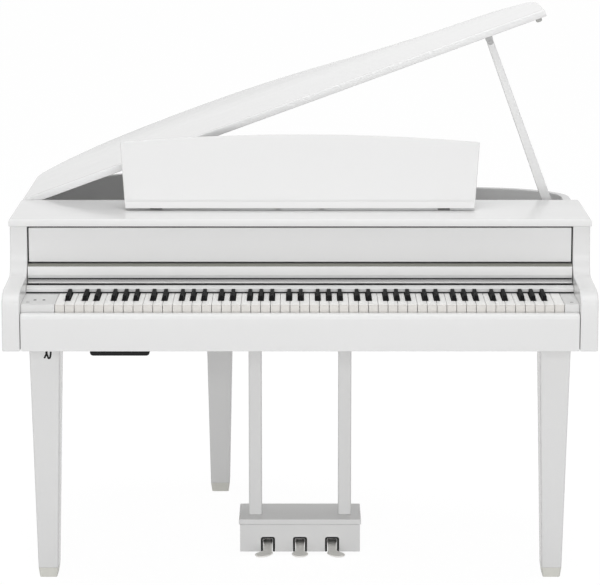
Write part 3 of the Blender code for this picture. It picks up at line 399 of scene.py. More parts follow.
# The pale grey is also painted shade on the key cover's lip and on the prop's ears and pin.
DARK_GREY, PALE_GREY_AND_SHADE = (
    coat(
        # Plastic with a matt spark-eroded face.
        f"matt_{name}_grey_plastic", (dark,) * 3, (light,) * 3, grain=(1500.0, 2.0), bump=(0.25, 0.0001),
        rough=(0.40, 0.15, 0.0),
    )
    for name, dark, light in (("dark", 0.13, 0.19), ("pale", 0.42, 0.50))
)
BUTTONS = {
    "left": {"left_button_1": PALE_GREY_AND_SHADE, "left_button_2": DARK_GREY, "left_button_3": DARK_GREY},
    "right": {"power_button": PALE_GREY_AND_SHADE},
}
WELL_GAP = 0.0003
WELL_DEEP = 0.0056
BUTTON_DISH = 0.0004
BUTTON_BRIM = 0.35
ROUND_SIDES = 40


def disc(radius, sides, a=0.0, b=0.0):
    """A ring of points about (a, b)."""
    return arc(a, b, radius, 0, 360, sides)[:-1]


def turned(profile, centre, sides=ROUND_SIDES, shape=None):
    """A profile of (radius, height) from the top of the axis to its bottom, turned about Z."""
    shape = shape or bmesh.new()
    top, bottom = (shape.verts.new((*centre, profile[end][1])) for end in (0, -1))
    rings = []
    for radius, height in profile[1:-1]:
        rings.append([shape.verts.new((*at, height)) for at in disc(radius, sides, *centre)])
    for side in range(sides):
        after = (side + 1) % sides
        shape.faces.new((top, rings[0][side], rings[0][after]))
        shape.faces.new((bottom, rings[-1][after], rings[-1][side]))
        for upper, lower in zip(rings, rings[1:]):
            shape.faces.new((upper[side], lower[side], lower[after], upper[after]))
    return shape


def plug(radius, top, bottom, centre, shape, sides=ROUND_SIDES):
    """Add a plain round bar to a shape."""
    turned([(0, top), (radius, top), (radius, bottom), (0, bottom)], centre, sides, shape)


def carve(shape, tool):
    """The shape that is left when a tool is cut out of another."""
    for part in (shape, tool):
        bmesh.ops.recalc_face_normals(part, faces=part.faces)
    pair = [stock("carving", part, SCENE) for part in (shape, tool)]
    pair[0].modifiers.new("cut", "BOOLEAN").object = pair[1]
    left_over = bmesh.new()
    left_over.from_object(pair[0], bpy.context.evaluated_depsgraph_get())
    for part in pair:
        bpy.data.objects.remove(part)
    return left_over


for side, caps in BUTTONS.items():
    node = side + "_key_block"
    low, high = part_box(node)
    wells = bmesh.new()
    for name, paint in caps.items():
        foot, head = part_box(name)
        centre = ((foot + head) / 2).xy
        radius = (head.x - foot.x) / 2
        hole = radius + WELL_GAP
        plug(hole, high.z + hole, high.z - WELL_DEEP, centre, wells)
        brim = BUTTON_BRIM * BUTTON_DISH
        cap = [
            (0, head.z - BUTTON_DISH),
            (0.55 * radius, head.z - 0.7 * BUTTON_DISH),
            (radius - 3 * brim, head.z),
            (radius - brim, head.z - 0.3 * brim),
            (radius, head.z - 2 * brim),
            (radius, foot.z),
            (0, foot.z),
        ]
        make(name + "_cap", turned(cap, centre), paint, name, "grey_button", name)
    block = carve(box(low, high), wells)
    make(side + "_end_block", block, BLOCK_PAINT, "case", "block_paint", node, ease=0.0009)

# Strip behind the keys
# A slim painted strip hides the tails of the keys. A line of black felt is glued under its foot, so
# that no light or dust gets in over the keys.
BLACK_FELT_AND_SHADE = coat(
    # Pressed wool: matt, with loose fibres lying every way. It is also painted shade in the key cover's
    # groove and on its top under the name board.
    "black_felt_and_shade", (0.012, 0.012, 0.013), (0.035, 0.035, 0.036), grain=(1400.0, 4.0, 0.7),
    bump=(0.7, 0.0004), Roughness=0.95, Sheen_Weight=0.3,
)
STRIP_LOW, STRIP_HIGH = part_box("key_backstrip")
STRIP_BREAK = 0.010
STRIP_SLOPE = 0.012
FELT_LOW = STRIP_LOW.z - 0.0009
FELT_HIGH = STRIP_LOW.z + 0.0022

profile = [
    (STRIP_LOW.y, FELT_HIGH),
    (STRIP_HIGH.y, FELT_HIGH),
    (STRIP_HIGH.y, STRIP_HIGH.z),
    (STRIP_LOW.y + STRIP_SLOPE, STRIP_HIGH.z),
    (STRIP_LOW.y, STRIP_LOW.z + STRIP_BREAK),
]
strip = prism(profile, "X", STRIP_LOW.x, STRIP_HIGH.x)
make("strip_behind_keys", strip, BLOCK_PAINT, "case", "block_paint", "key_backstrip", ease=0.0008)
felt = box((STRIP_LOW.x, STRIP_LOW.y, FELT_LOW), (STRIP_HIGH.x, STRIP_HIGH.y, FELT_HIGH))
make("strip_felt", felt, BLACK_FELT_AND_SHADE, "case", "black_board", ease=0.0002, turns=2)

# Sliding key cover
# A thin lacquered leaf runs in grooves inside the case and is pushed back out of sight. The rail at
# its front edge is grooved for the fingertips over a thin lip, and carries a strip of grey felt on
# its brow, which keeps it from rubbing on the name board. The felt's dark grey is partly painted
# shade under the name board. Thin strips of painted shade lie in the groove, on the lip's bevel and
# on the top behind the brow.
NOSE_LOW, NOSE_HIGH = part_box("key_cover_nose")
NOSE_LIP = 0.0085
NOSE_GROOVE = 0.004
NOSE_GROOVE_DEEP = 0.0055
NOSE_LIP_DEEP = 0.012
NOSE_CHAMFER = (0.0050, 0.0076)
NOSE_FLAT = 0.0115
BROW_DROP = 0.0040
BROW_CURVE = ((0.0024, 0.0), (0.0010, 0.0006), (0.0002, 0.0018), (0.0, 0.0030))
BROW_SKIN = 0.0004
BROW_BACK = 0.022
LIP_EDGE = 0.0034
LIP_CUT = 0.0022
LIP_EASE = 0.0006
LIP_STEP = (0.0010, 0.0012)
NOSE_EASE = 0.0005
LIP_SHADE_PROUD = 0.0003
NOSE_IN = 0.0004
GROOVE_SHADE_WALL = 0.0012

lip_top = NOSE_LOW.z + NOSE_LIP
band_low = lip_top + NOSE_GROOVE
front = NOSE_LOW.y
brow = [(front + depth, NOSE_HIGH.z - BROW_DROP - drop) for depth, drop in BROW_CURVE]
bevel = [(front, lip_top - LIP_EASE), (front + LIP_CUT, NOSE_LOW.z + LIP_EDGE + LIP_STEP[0])]
profile = [
    (front + NOSE_IN, NOSE_LOW.z),
    (front + NOSE_LIP_DEEP, NOSE_LOW.z),
    (front + NOSE_LIP_DEEP, lip_top - 2 * NOSE_EASE),
    (NOSE_HIGH.y, lip_top),
    (NOSE_HIGH.y, NOSE_HIGH.z),
    (front + NOSE_FLAT, NOSE_HIGH.z),
    *brow,
    (front, band_low + NOSE_CHAMFER[1]),
    (front + NOSE_CHAMFER[0], band_low + NOSE_EASE),
    (front + NOSE_CHAMFER[0], band_low),
    (front + NOSE_GROOVE_DEEP, band_low),
    (front + NOSE_GROOVE_DEEP, lip_top),
    (front + NOSE_EASE, lip_top),
    *bevel,
    (front + NOSE_IN, NOSE_LOW.z + LIP_EDGE - LIP_STEP[1]),
]
nose = prism(profile, "X", NOSE_LOW.x, NOSE_HIGH.x)
make("cover_nose_rail", nose, LACQUER, "cover", "lacquer", "key_cover_nose", ease=0.0004, turns=2)

BROW_GREY = coat(
    # Thin felt, pressed hard and a little uneven. Its dark olive grey is partly painted shade under the name
    # board.
    "olive_grey_felt_and_shade", (0.22, 0.22, 0.195), (0.31, 0.31, 0.28), grain=(1200.0, 4.0, 0.7),
    bump=(0.5, 0.0003), Roughness=0.9, Specular_IOR_Level=0.1,
)
# Strips on the rail: grey felt on the brow, darkened as shade; a grey band on the lip's bevel, black behind
# the brow and black in the groove, all painted shade.
slope = [brow[0], (front + NOSE_FLAT, NOSE_HIGH.z), (front + BROW_BACK, NOSE_HIGH.z)]
raised = [(depth, height + BROW_SKIN) for depth, height in reversed(slope)]
proud = [(depth - LIP_SHADE_PROUD, height) for depth, height in reversed(bevel)]
behind = oblong(front + BROW_BACK, NOSE_HIGH.z, NOSE_HIGH.y - SHADOW, NOSE_HIGH.z + BROW_SKIN)
in_groove = oblong(front + NOSE_GROOVE_DEEP - GROOVE_SHADE_WALL, lip_top, front + NOSE_GROOVE_DEEP, band_low)
for name, outline, paint, slot in (
    ("cover_brow_felt", slope + raised, BROW_GREY, "grey_button"),
    ("cover_lip_trim", bevel + proud, PALE_GREY_AND_SHADE, "grey_button"),
    ("cover_back_felt", behind, BLACK_FELT_AND_SHADE, "black_board"),
    ("cover_groove_felt", in_groove, BLACK_FELT_AND_SHADE, "black_board"),
):
    make(name, prism(outline, "X", NOSE_LOW.x + NOSE_IN, NOSE_HIGH.x - NOSE_IN), paint, "cover", slot)
repaint(LACQUER, "key_cover_panel")

# White keys
# Each is a wooden stick under a moulded top that feels like ivory. The top laps a hair over the
# stick, and each of the seven keys of an octave is cut back to let the black keys through.
LIT_KEY_IVORY = coat(
    # Ivory-like plastic with faint grain along the key, made near white as painted light on the tops.
    "key_ivory", (0.915, 0.908, 0.890), (0.935, 0.930, 0.915), grain=((600.0, 50.0, 600.0), 4.0, 0.6),
    bump=(0.04, 0.0001), rough=(0.26, 0.12, 0.0), cloud=(12.0, 2.0), Specular_IOR_Level=0.15,
)
SHADED_KEY_FRONTS = coat(
    # The fronts of the keys, under the lap of the top: a darker, greyer copy of the ivory, as painted shade.
    "key_front_painted_shade", (0.69, 0.67, 0.635), (0.75, 0.73, 0.70), grain=((90.0, 90.0, 700.0), 3.0),
    bump=(0.08, 0.0001), rough=(0.36, 0.14, 0.0),
)
KEY_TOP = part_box("key_c")[1].z
PITCH = 0.0235
KEY_GAP = 0.0010
FIRST_PLACE = 5
WHITE_KEYS = 52
WHITE_BANK = 23
KEY_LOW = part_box("white_keys_bass")[0]
KEY_HEAD = 0.0465
KEY_TAIL = 0.221
KEY_THICK = 0.021
TOP_THICK = 0.0024
KEY_ROUND = 0.0006
LAP = 0.0004
KEYBOARD_LEFT = KEY_LOW.x - KEY_GAP / 2
KEY_FRONT = KEY_LOW.y
WHITE_SLOTS = ((0, 5, 0), (0, 5, 2), (0, 5, 4), (3, 7, 0), (3, 7, 2), (3, 7, 4), (3, 7, 6))


def round_edges(shape, width, segments=2):
    """Round every sharp edge, and shade only the rounding smooth."""
    bmesh.ops.recalc_face_normals(shape, faces=shape.faces)
    sharp = [edge for edge in shape.edges if edge.calc_face_angle(0.0) > SHARP]
    rounded = bmesh.ops.bevel(shape, geom=sharp, offset=width, segments=segments, affect="EDGES", profile=0.5)
    for face in rounded["faces"]:
        face.smooth = True
    return shape


def new_tree(name, **sockets):
    """A Geometry Nodes tree, and the wires of its named inputs."""
    tree = bpy.data.node_groups.new(name, "GeometryNodeTree")
    for label, kind in sockets.items():
        tree.interface.new_socket(label, in_out="INPUT", socket_type="NodeSocket" + kind)
    tree.interface.new_socket("Result", in_out="OUTPUT", socket_type="NodeSocketGeometry")
    given = tree.nodes.new("NodeGroupInput")
    return Wire(tree), {label: Wire(tree, given.outputs[label]) for label in sockets}


def end_tree(root, given, points, copies=None, more=None):
    """Close a tree: copies on the points, made real, with their material."""
    copies = copies or root.node("GeometryNodeObjectInfo", {"Object": given["Shape"]}, output="Geometry")
    placed = root.node("GeometryNodeInstanceOnPoints", {"Points": points, "Instance": copies, **(more or {})})
    real = root.node("GeometryNodeRealizeInstances", {"Geometry": placed})
    result = root.node("GeometryNodeSetMaterial", {"Geometry": real, "Material": given["Finish"]})
    # Faces that look forward take the darker fronts material, which is painted shade.
    if "Fronts" in given:
        normal = root.node("GeometryNodeInputNormal")
        facing = root.node("ShaderNodeSeparateXYZ", {"Vector": normal}, output="Y")
        chosen = {"Geometry": result, "Selection": -1 * facing > 0.7, "Material": given["Fronts"]}
        result = root.node("GeometryNodeSetMaterial", chosen)
    root.node("NodeGroupOutput", {"Result": result})
    return root.tree


def grow(name, tree, **values):
    """Run a tree with its inputs set, and keep what it makes as a plain mesh."""
    made = bpy.data.objects.new(name, bpy.data.meshes.new(name))
    SCENE.objects.link(made)
    step = made.modifiers.new("grow", "NODES")
    step.node_group = tree
    for socket in tree.interface.items_tree:
        if socket.in_out == "INPUT":
            step[socket.identifier] = values[socket.name]
    graph = bpy.context.evaluated_depsgraph_get()
    made.data = bpy.data.meshes.new_from_object(made.evaluated_get(graph))
    made.modifiers.clear()
    return made


def white_shape(place, low_end=False, high_end=False):
    """One white key with the left edge of its cell at x = 0."""
    start, share, slot = WHITE_SLOTS[place]
    wide = (3 if start == 0 else 4) * PITCH / share
    tail_left = (start - place) * PITCH + slot * wide
    left, right = KEY_GAP / 2, PITCH - KEY_GAP / 2
    tail_right = right if high_end else min(right, tail_left + wide - KEY_GAP / 2)
    tail_left = left if low_end else max(left, tail_left + KEY_GAP / 2)
    shape = bmesh.new()
    neck = KEY_FRONT + KEY_HEAD
    under = KEY_TOP - TOP_THICK
    for inset, low, high in ((0.0, under, KEY_TOP), (LAP, KEY_TOP - KEY_THICK, under)):
        side = inset / 2
        outline = [(left + side, KEY_FRONT + inset), (right - side, KEY_FRONT + inset)]
        if right - tail_right > LAP:
            outline += [(right - side, neck), (tail_right - side, neck)]
        outline += [(tail_right - side, KEY_FRONT + KEY_TAIL), (tail_left + side, KEY_FRONT + KEY_TAIL)]
        if tail_left - left > LAP:
            outline += [(tail_left + side, neck), (left + side, neck)]
        prism(outline, "Z", low, high, shape)
    return round_edges(shape, KEY_ROUND)


white_shapes = bpy.data.collections.new("white key shapes")
for place in range(7):
    stock(f"white_{place}", white_shape(place), white_shapes)
stock("white_7_lowest", white_shape(FIRST_PLACE, low_end=True), white_shapes)
stock("white_8_highest", white_shape(0, high_end=True), white_shapes)

root, given = new_tree(
    "white keys", Shapes="Collection", First="Int", Count="Int", Left="Float", Pitch="Float",
    Finish="Material", Fronts="Material",
)
key = root.node("GeometryNodeInputIndex") + given["First"]
left = given["Left"] + given["First"] * given["Pitch"]
line = root.node(
    "GeometryNodeMeshLine",
    {
        "Count": given["Count"],
        "Start Location": root.node("ShaderNodeCombineXYZ", {"X": left}),
        "Offset": root.node("ShaderNodeCombineXYZ", {"X": given["Pitch"]}),
    },
    mode="OFFSET",
)
lowest = 1 - (key > 0.5)
highest = key > WHITE_KEYS - 1.5
shape_index = ((key + FIRST_PLACE) % 7) * (1 - lowest) * (1 - highest) + 7 * lowest + 8 * highest
shapes = root.node(
    "GeometryNodeCollectionInfo",
    {"Collection": given["Shapes"], "Separate Children": True, "Reset Children": True},
)
white_tree = end_tree(root, given, line, shapes, {"Pick Instance": True, "Instance Index": shape_index})


def lay_keys(colour, tail, middle, names, total, tree, **values):
    """Grow the two banks of a colour and the single keys between them, each as a piece."""
    after = middle + len(names)
    rows = [(f"{colour}_keys_bass", f"{colour}_bass", 0, middle)]
    rows.append((f"{colour}_keys_treble", f"{colour}_treble", after, total - after))
    rows += [(name, name, middle + step, 1) for step, name in enumerate(names)]
    for name, body, first, count in rows:
        row = grow(name + tail, tree, First=first, Count=count, Left=KEYBOARD_LEFT, Pitch=PITCH, **values)
        fit(row, body, "key_" + colour, name)


single = ["key_" + letter for letter in "cdefgab"]
lay_keys(
    "white", "_ivory", WHITE_BANK, single, WHITE_KEYS, white_tree,
    Shapes=white_shapes, Finish=LIT_KEY_IVORY, Fronts=SHADED_KEY_FRONTS,
)

# Black keys
# A narrow stick under a matt black cap that is moulded with a sloping front and rounded shoulders,
# and grained along its length to look and feel like ebony.
EBONY = coat(
    # Ebony-like resin with long streaks and a shine that comes and goes.
    "key_ebony", (0.006, 0.006, 0.0065), (0.014, 0.014, 0.0145), grain=((900.0, 45.0, 900.0), 4.0, 0.7),
    bump=(0.12, 0.0002), rough=(0.42, 0.14, 0.06), cloud=(60.0, 2.0), share=0.0, Specular_IOR_Level=0.03,
)
BLACK_KEYS = 36
BLACK_BANK = 16
BLACK_BEFORE = 4
BLACK_CAP = 0.0955
BLACK_BASE = 0.011
BLACK_CREST = 0.0092
BLACK_RISE = 0.012
BLACK_SLANT = 0.0065
BLACK_TAIL = 0.186
BLACK_STICK = 0.015
BLACK_SEAT = 0.002
BLACK_ROUND = 0.0013
BLACK_TOE = ((0.0006, 0.0015), (0.0, -0.001))
BLACK_TWO = (0.9, 1.2)
BLACK_THREE = (11 / 7, 8 / 7)

front = KEY_FRONT + KEY_HEAD + KEY_GAP / 2
seat = KEY_TOP - BLACK_SEAT
profile = [
    (front, seat - BLACK_STICK),
    (front + BLACK_TAIL, seat - BLACK_STICK),
    (front + BLACK_TAIL, seat),
    (front + BLACK_CAP, seat),
    (front + BLACK_CAP, KEY_TOP + BLACK_RISE),
    (front + BLACK_SLANT, KEY_TOP + BLACK_RISE),
    *[(front + depth, KEY_TOP + height) for depth, height in BLACK_TOE],
]
sharp = prism(profile, "X", -BLACK_BASE / 2, BLACK_BASE / 2)
for vert in sharp.verts:
    if vert.co.z > KEY_TOP + BLACK_RISE / 2:
        vert.co.x *= BLACK_CREST / BLACK_BASE
black_shape = stock("black_key_shape", round_edges(sharp, BLACK_ROUND, 3))

root, given = new_tree(
    "black keys", Shape="Object", First="Int", Count="Int", Left="Float", Pitch="Float", Finish="Material"
)
key = root.node("GeometryNodeInputIndex") + given["First"] + BLACK_BEFORE
place = key % 5
octave = (key - place) / 5
late = place > 1.5
two = BLACK_TWO[0] + BLACK_TWO[1] * place
three = BLACK_THREE[0] + BLACK_THREE[1] * place
offset = two * (1 - late) + three * late
across = given["Left"] + given["Pitch"] * (7 * octave - FIRST_PLACE + offset)
line = root.node("GeometryNodeMeshLine", {"Count": given["Count"]}, mode="OFFSET")
points = root.node(
    "GeometryNodeSetPosition",
    {"Geometry": line, "Position": root.node("ShaderNodeCombineXYZ", {"X": across})},
)
black_tree = end_tree(root, given, points)
single = [f"key_{letter}_sharp" for letter in "cdfga"]
lay_keys("black", "_ebony", BLACK_BANK, single, BLACK_KEYS, black_tree, Shape=black_shape, Finish=EBONY)

# Speaker deck
# A board painted like the key blocks closes the sound chamber, with two round holes cut for the
# speakers. It is screwed to cleats inside the rim.
DECK_LOW, DECK_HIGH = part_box("speaker_board")
SPEAKER_HOLE = 0.078
SPEAKER_SIDES = 72
CLEAR = 0.0003

deck = prism(case_outline(DECK_LOW.y, RIM_WALL + CLEAR), "Z", DECK_LOW.z, DECK_HIGH.z)
holes = bmesh.new()
for side in ("left", "right"):
    low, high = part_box("speaker_" + side)
    centre = ((low + high) / 2).xy
    plug(SPEAKER_HOLE, high.z + RIM_WALL, DECK_LOW.z - RIM_WALL, centre, holes, SPEAKER_SIDES)
deck = carve(deck, holes)
make("speaker_deck", deck, BLOCK_PAINT, "case", "block_paint", "speaker_board", ease=0.001, turns=2)

# Speakers
# Each has a black basket and magnet under the deck, a pulp cone with a rolled rubber edge above it,
# a dust cap in the middle, and a ring of screws through its flange.
CONE_PULP = coat(
    # Pressed paper pulp, slightly cloudy.
    "speaker_cone_pulp", (0.030, 0.030, 0.031), (0.065, 0.065, 0.067), grain=(420.0, 4.0, 0.7),
    bump=(0.4, 0.0003), rough=(0.70, 0.2, 0.0),
)
SOFT_RUBBER = coat(
    # Soft black rubber with a bloom of dust.
    "soft_black_rubber", (0.016, 0.016, 0.016), (0.030, 0.030, 0.031), grain=(40.0, 3.0),
    bump=(0.05, 0.0005), rough=(0.55, 0.2, 0.0),
)
STEEL = coat(
    # Zinc-plated steel, brushed one way, with cloudy plating.
    "plated_steel", (0.60, 0.60, 0.60), (0.74, 0.74, 0.73), grain=((60.0, 1600.0, 60.0), 3.0),
    bump=(0.08, 0.0001), rough=(0.24, 0.16, 0.0), cloud=(45.0, 3.0), Metallic=1.0,
)
FLANGE = 0.086
FLANGE_WALL = 0.004
FLANGE_EDGE = 0.009
CONE = 0.061
CONE_DEEP = 0.020
CONE_LIP = 0.003
ROLL = 0.0065
ROLL_TALL = 0.36
DUST_CAP = 0.021
DUST_CROWN = 0.008
BASKET = (0.066, 0.022)
MAGNET = (0.048, 0.026)
EDGE = 0.001
SCREWS_ROUND = 8
SCREW_HEAD = 0.0036
SCREW_IN = 0.0048


def screw_shape(radius):
    """A pan-head screw, head up at the origin."""
    profile = [(0, 0.42 * radius)]
    for step in range(1, 5):
        angle = math.radians(90 - 20 * step)
        profile.append((radius * math.cos(angle), 0.42 * radius * math.sin(angle) + 0.08 * radius))
    profile += [(radius, 0.0), (0.45 * radius, -0.002), (0, -0.002)]
    shape = turned(profile, (0, 0), 20)
    for face in shape.faces:
        face.smooth = True
    return shape


root, given = new_tree(
    "ring of copies", Shape="Object", Count="Int", Radius="Float", Centre="Vector", Finish="Material"
)
circle = root.node("GeometryNodeMeshCircle", {"Vertices": given["Count"], "Radius": given["Radius"]})
circle = root.node("GeometryNodeTransform", {"Geometry": circle, "Translation": given["Centre"]})
ring_tree = end_tree(root, given, circle)
screw = stock("deck_screw", screw_shape(SCREW_HEAD))

for side in ("left", "right"):
    low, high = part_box("speaker_" + side)
    centre = ((low + high) / 2).xy
    top = high.z
    face = top - FLANGE_WALL
    well = top - CONE_DEEP
    profile = [(0, well + DUST_CROWN), (0.5 * DUST_CAP, well + 0.75 * DUST_CROWN), (DUST_CAP, well)]
    for step in range(1, 7):
        share = step / 6
        profile.append((DUST_CAP + (CONE - DUST_CAP) * share, well + (CONE_DEEP - CONE_LIP) * share**0.8))
    for out, up in arc(1, 0, 1, 180, -180, 7)[1:]:
        profile.append((CONE + ROLL * out, top - CONE_LIP + ROLL_TALL * ROLL * up))
    profile += [
        (FLANGE - FLANGE_EDGE, top),
        (FLANGE - EDGE, top),
        (FLANGE, top - EDGE),
        (FLANGE, face),
        (SPEAKER_HOLE - EDGE / 2, face),
        (BASKET[0], face - BASKET[1]),
        (MAGNET[0], low.z + MAGNET[1]),
        (MAGNET[0], low.z + EDGE),
        (MAGNET[0] - EDGE, low.z),
        (0, low.z),
    ]
    shape = turned(profile, centre, SPEAKER_SIDES)
    for face in shape.faces:
        middle = face.calc_center_median()
        out = (middle.xy - centre).length
        if middle.z > well - EDGE and out < CONE + 2 * ROLL + EDGE / 2:
            face.material_index = 2 if out > CONE else 1
    speaker = make(side + "_speaker", shape, BLACK_PLASTIC_AND_SHADE, "case", "black_plastic", "speaker_" + side)
    speaker.data.materials.append(CONE_PULP)
    speaker.data.materials.append(SOFT_RUBBER)
    screws = grow(
        side + "_speaker_screws", ring_tree, Shape=screw, Count=SCREWS_ROUND, Radius=FLANGE - SCREW_IN,
        Centre=(*centre, top), Finish=STEEL,
    )
    fit(screws, "case", "hinge_steel")


# Circuit board
# The main board of the instrument lies on the floor of the case. It is green glass fibre with chips
# soldered on it.
def circuit_dress(root, place):
    """Solder mask over thin copper tracks."""
    drawn = root.node("ShaderNodeMapping", {"Vector": place, "Scale": (160.0, 90.0, 160.0)})
    cells = root.node(
        "ShaderNodeTexVoronoi", {"Vector": drawn, "Scale": 1.0}, distance="MANHATTAN", feature="F1"
    )
    tracks = cells > 0.42
    return {
        "Base Color": root.tint(tracks, (0.010, 0.090, 0.035), (0.020, 0.150, 0.060)),
        "Roughness": 0.30 + 0.12 * tracks,
        "Normal": root.bump(tracks, 0.2, 0.0002),
    }


repaint(finish("circuit_board", circuit_dress), "main_board")

# Lid
# One veneered board cut to the shape of the rim and hinged along its straight side. Its upper edge is
# rounded over, and rubber bumpers under it keep it off the rim when it is down.
JOINTS = {joint["name"]: joint for joint in frame["joints"]}
HINGE = Vector(JOINTS["lid_open"]["pos_m"])
LID_ANGLE = -math.radians(JOINTS["lid_open"]["range_deg"][0])
LID_WALL = 0.018
LID_ROUND = 0.006
LID_FOOT_ROUND = 0.0018
LID_FRONT = TOP_HIGH.y + SHADOW
BUMPER_FRONT = (0.690, -0.076)
BUMPER_EVERY = 31
BUMPER_RADIUS = 0.0080
BUMPER_TALL = 0.0094
BUMPER_DOME = ((1.0, 0.45), (0.95, 0.72), (0.78, 0.90), (0.45, 0.98), (0, 1.0))
OPENED = Matrix.Translation(HINGE) @ Matrix.Rotation(-LID_ANGLE, 4, "Y") @ Matrix.Translation(-HINGE)


def moved(shape, matrix):
    """The same shape, moved by a matrix."""
    bmesh.ops.transform(shape, matrix=matrix, verts=shape.verts)
    return shape


edge = arc(LID_FOOT_ROUND, HINGE.z + LID_FOOT_ROUND, LID_FOOT_ROUND, 270, -90, 4)
edge += arc(LID_ROUND, HINGE.z + LID_WALL - LID_ROUND, LID_ROUND, 180, -90, 8)
loops = [[(x, y, z) for x, y in case_outline(LID_FRONT + inset, inset, HINGE.x)] for inset, z in edge]
make("lid_board", moved(skin(loops), OPENED), LACQUER, "lid", "lacquer", "lid")
bumpers = bmesh.new()
for at in [BUMPER_FRONT] + bent_side(RIM_WALL / 2)[BUMPER_EVERY::BUMPER_EVERY]:
    profile = [(0, HINGE.z), (BUMPER_RADIUS, HINGE.z)]
    profile += [(radius * BUMPER_RADIUS, HINGE.z - drop * BUMPER_TALL) for radius, drop in BUMPER_DOME]
    turned(profile, at, 32, bumpers)

GREY_RUBBER = coat(
    # Matt grey rubber with a faint bloom.
    "grey_bumper_rubber", (0.42, 0.42, 0.41), (0.52, 0.52, 0.50), grain=(150.0, 2.0),
    bump=(0.1, 0.0003), rough=(0.5, 0.2, 0.0),
)
make("lid_bumpers", moved(bumpers, OPENED), GREY_RUBBER, "lid", "cream_cap")

# Lid hinge
# A strip hinge runs along the straight side, screwed to the top of the rim and let in under the lid.
# Its knuckles alternate between the two leaves on one long pin.
LEAF_LOW, LEAF_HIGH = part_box("lid_hinge")
LEAF_WALL = 0.0016
LEAF_LIP = 0.0012
KNUCKLE = 0.0030
KNUCKLE_LONG = 0.030
KNUCKLE_GAP = 0.0005
KNUCKLE_IN = 0.001
HINGE_SCREWS = 9
HINGE_SCREW = 0.0028
SCREW_OUT = 0.002

root, given = new_tree(
    "row of copies", Shape="Object", Count="Int", Start="Vector", Step="Vector", Finish="Material"
)
line = root.node(
    "GeometryNodeMeshLine",
    {"Count": given["Count"], "Start Location": given["Start"], "Offset": given["Step"]},
    mode="OFFSET",
)
row_tree = end_tree(root, given, line)

leaf = box(LEAF_LOW, (LEAF_HIGH.x, LEAF_HIGH.y, LEAF_LOW.z + LEAF_WALL))
box(LEAF_LOW, (LEAF_LOW.x + LEAF_LIP, LEAF_HIGH.y, LEAF_HIGH.z - KNUCKLE), leaf)
make("hinge_leaf_on_rim", leaf, STEEL, "case", "hinge_steel", "lid_hinge", ease=0.0003, turns=2)
barrel = prism(disc(KNUCKLE, 16), "Y", KNUCKLE_GAP, KNUCKLE_LONG - KNUCKLE_GAP)
knuckle = stock("knuckle", round_edges(barrel, 0.0004))
for name, body, shift in (("knuckles_on_rim", "case", 0), ("knuckles_on_lid", "lid", 1)):
    start = (LEAF_LOW.x + KNUCKLE - KNUCKLE_IN, LEAF_LOW.y + shift * KNUCKLE_LONG, LEAF_HIGH.z - KNUCKLE)
    count = int((LEAF_HIGH.y - LEAF_LOW.y) / (2 * KNUCKLE_LONG))
    row = grow(
        name, row_tree, Shape=knuckle, Count=count, Start=start, Step=(0, 2 * KNUCKLE_LONG, 0), Finish=STEEL
    )
    fit(row, body, "hinge_steel")
step = (LEAF_HIGH.y - LEAF_LOW.y) / HINGE_SCREWS
row = grow(
    "hinge_screws", row_tree, Shape=stock("hinge_screw", screw_shape(HINGE_SCREW)), Count=HINGE_SCREWS,
    Start=((LEAF_LOW.x + LEAF_HIGH.x) / 2 + SCREW_OUT, LEAF_LOW.y + step / 2, LEAF_LOW.z + LEAF_WALL),
    Step=(0, step, 0), Finish=STEEL,
)
fit(row, "case", "hinge_steel")

# Lid prop
# A flat lacquered bar hangs between two ears under the lid and swings down to stand on the rim. The
# ears and the pin are pale grey as painted shade at the top of the bar. Both its ends are rounded,
# and its foot leans in a black cup screwed inside the rim.
PROP_AXIS = Vector(JOINTS["prop_fold"]["pos_m"])
PROP_LOW, PROP_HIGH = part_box("lid_prop")
PROP_TOP_WIDTH = 0.017
PROP_FOOT_WIDTH = 0.025
EAR_HALF = 0.010
EAR_WALL = 0.0035
EAR_GAP = 0.0005
EAR_LONG = 0.024
EAR_TIP = 0.008
PIN = 0.004
PIN_PROUD = 0.002

prop_long = (PROP_AXIS.z - PROP_LOW.z - PROP_FOOT_WIDTH / 2) / math.cos(LID_ANGLE)
outline = arc(0, 0, PROP_TOP_WIDTH / 2, 0, 180, 16) + arc(0, -prop_long, PROP_FOOT_WIDTH / 2, 180, 180, 16)
stand = Matrix.Translation((PROP_AXIS.x, 0, PROP_AXIS.z)) @ Matrix.Rotation(-LID_ANGLE, 4, "Y")
bar = moved(prism(outline, "Y", PROP_LOW.y, PROP_HIGH.y), stand)
make("prop_bar", bar, LACQUER, "prop", "lacquer", "lid_prop", ease=0.0022, turns=4)

along = (PROP_AXIS - HINGE).dot(Vector((math.cos(LID_ANGLE), 0, math.sin(LID_ANGLE))))
middle = HINGE.x + along
outline = [(middle - EAR_HALF, HINGE.z), (middle + EAR_HALF, HINGE.z)]
outline += arc(middle, HINGE.z - EAR_LONG + EAR_TIP, EAR_TIP, 0, -180, 8)
ears = bmesh.new()
for depth in (PROP_LOW.y - EAR_GAP - EAR_WALL, PROP_HIGH.y + EAR_GAP):
    prism(outline, "Y", depth, depth + EAR_WALL, ears)
# The ears are pale grey as painted shade at the top of the prop.
make("prop_ears", moved(ears, OPENED), PALE_GREY_AND_SHADE, "lid", "grey_button", ease=0.0005, turns=2)
pin = disc(PIN, 24, PROP_AXIS.x, PROP_AXIS.z)
pin = prism(pin, "Y", PROP_LOW.y - EAR_WALL - PIN_PROUD, PROP_HIGH.y + EAR_WALL + PIN_PROUD)
# The pin is pale grey as painted shade too.
make("prop_pin", pin, PALE_GREY_AND_SHADE, "lid", "grey_button", ease=0.0006, turns=2)
repaint(BLACK_PLASTIC_AND_SHADE, "prop_cup")

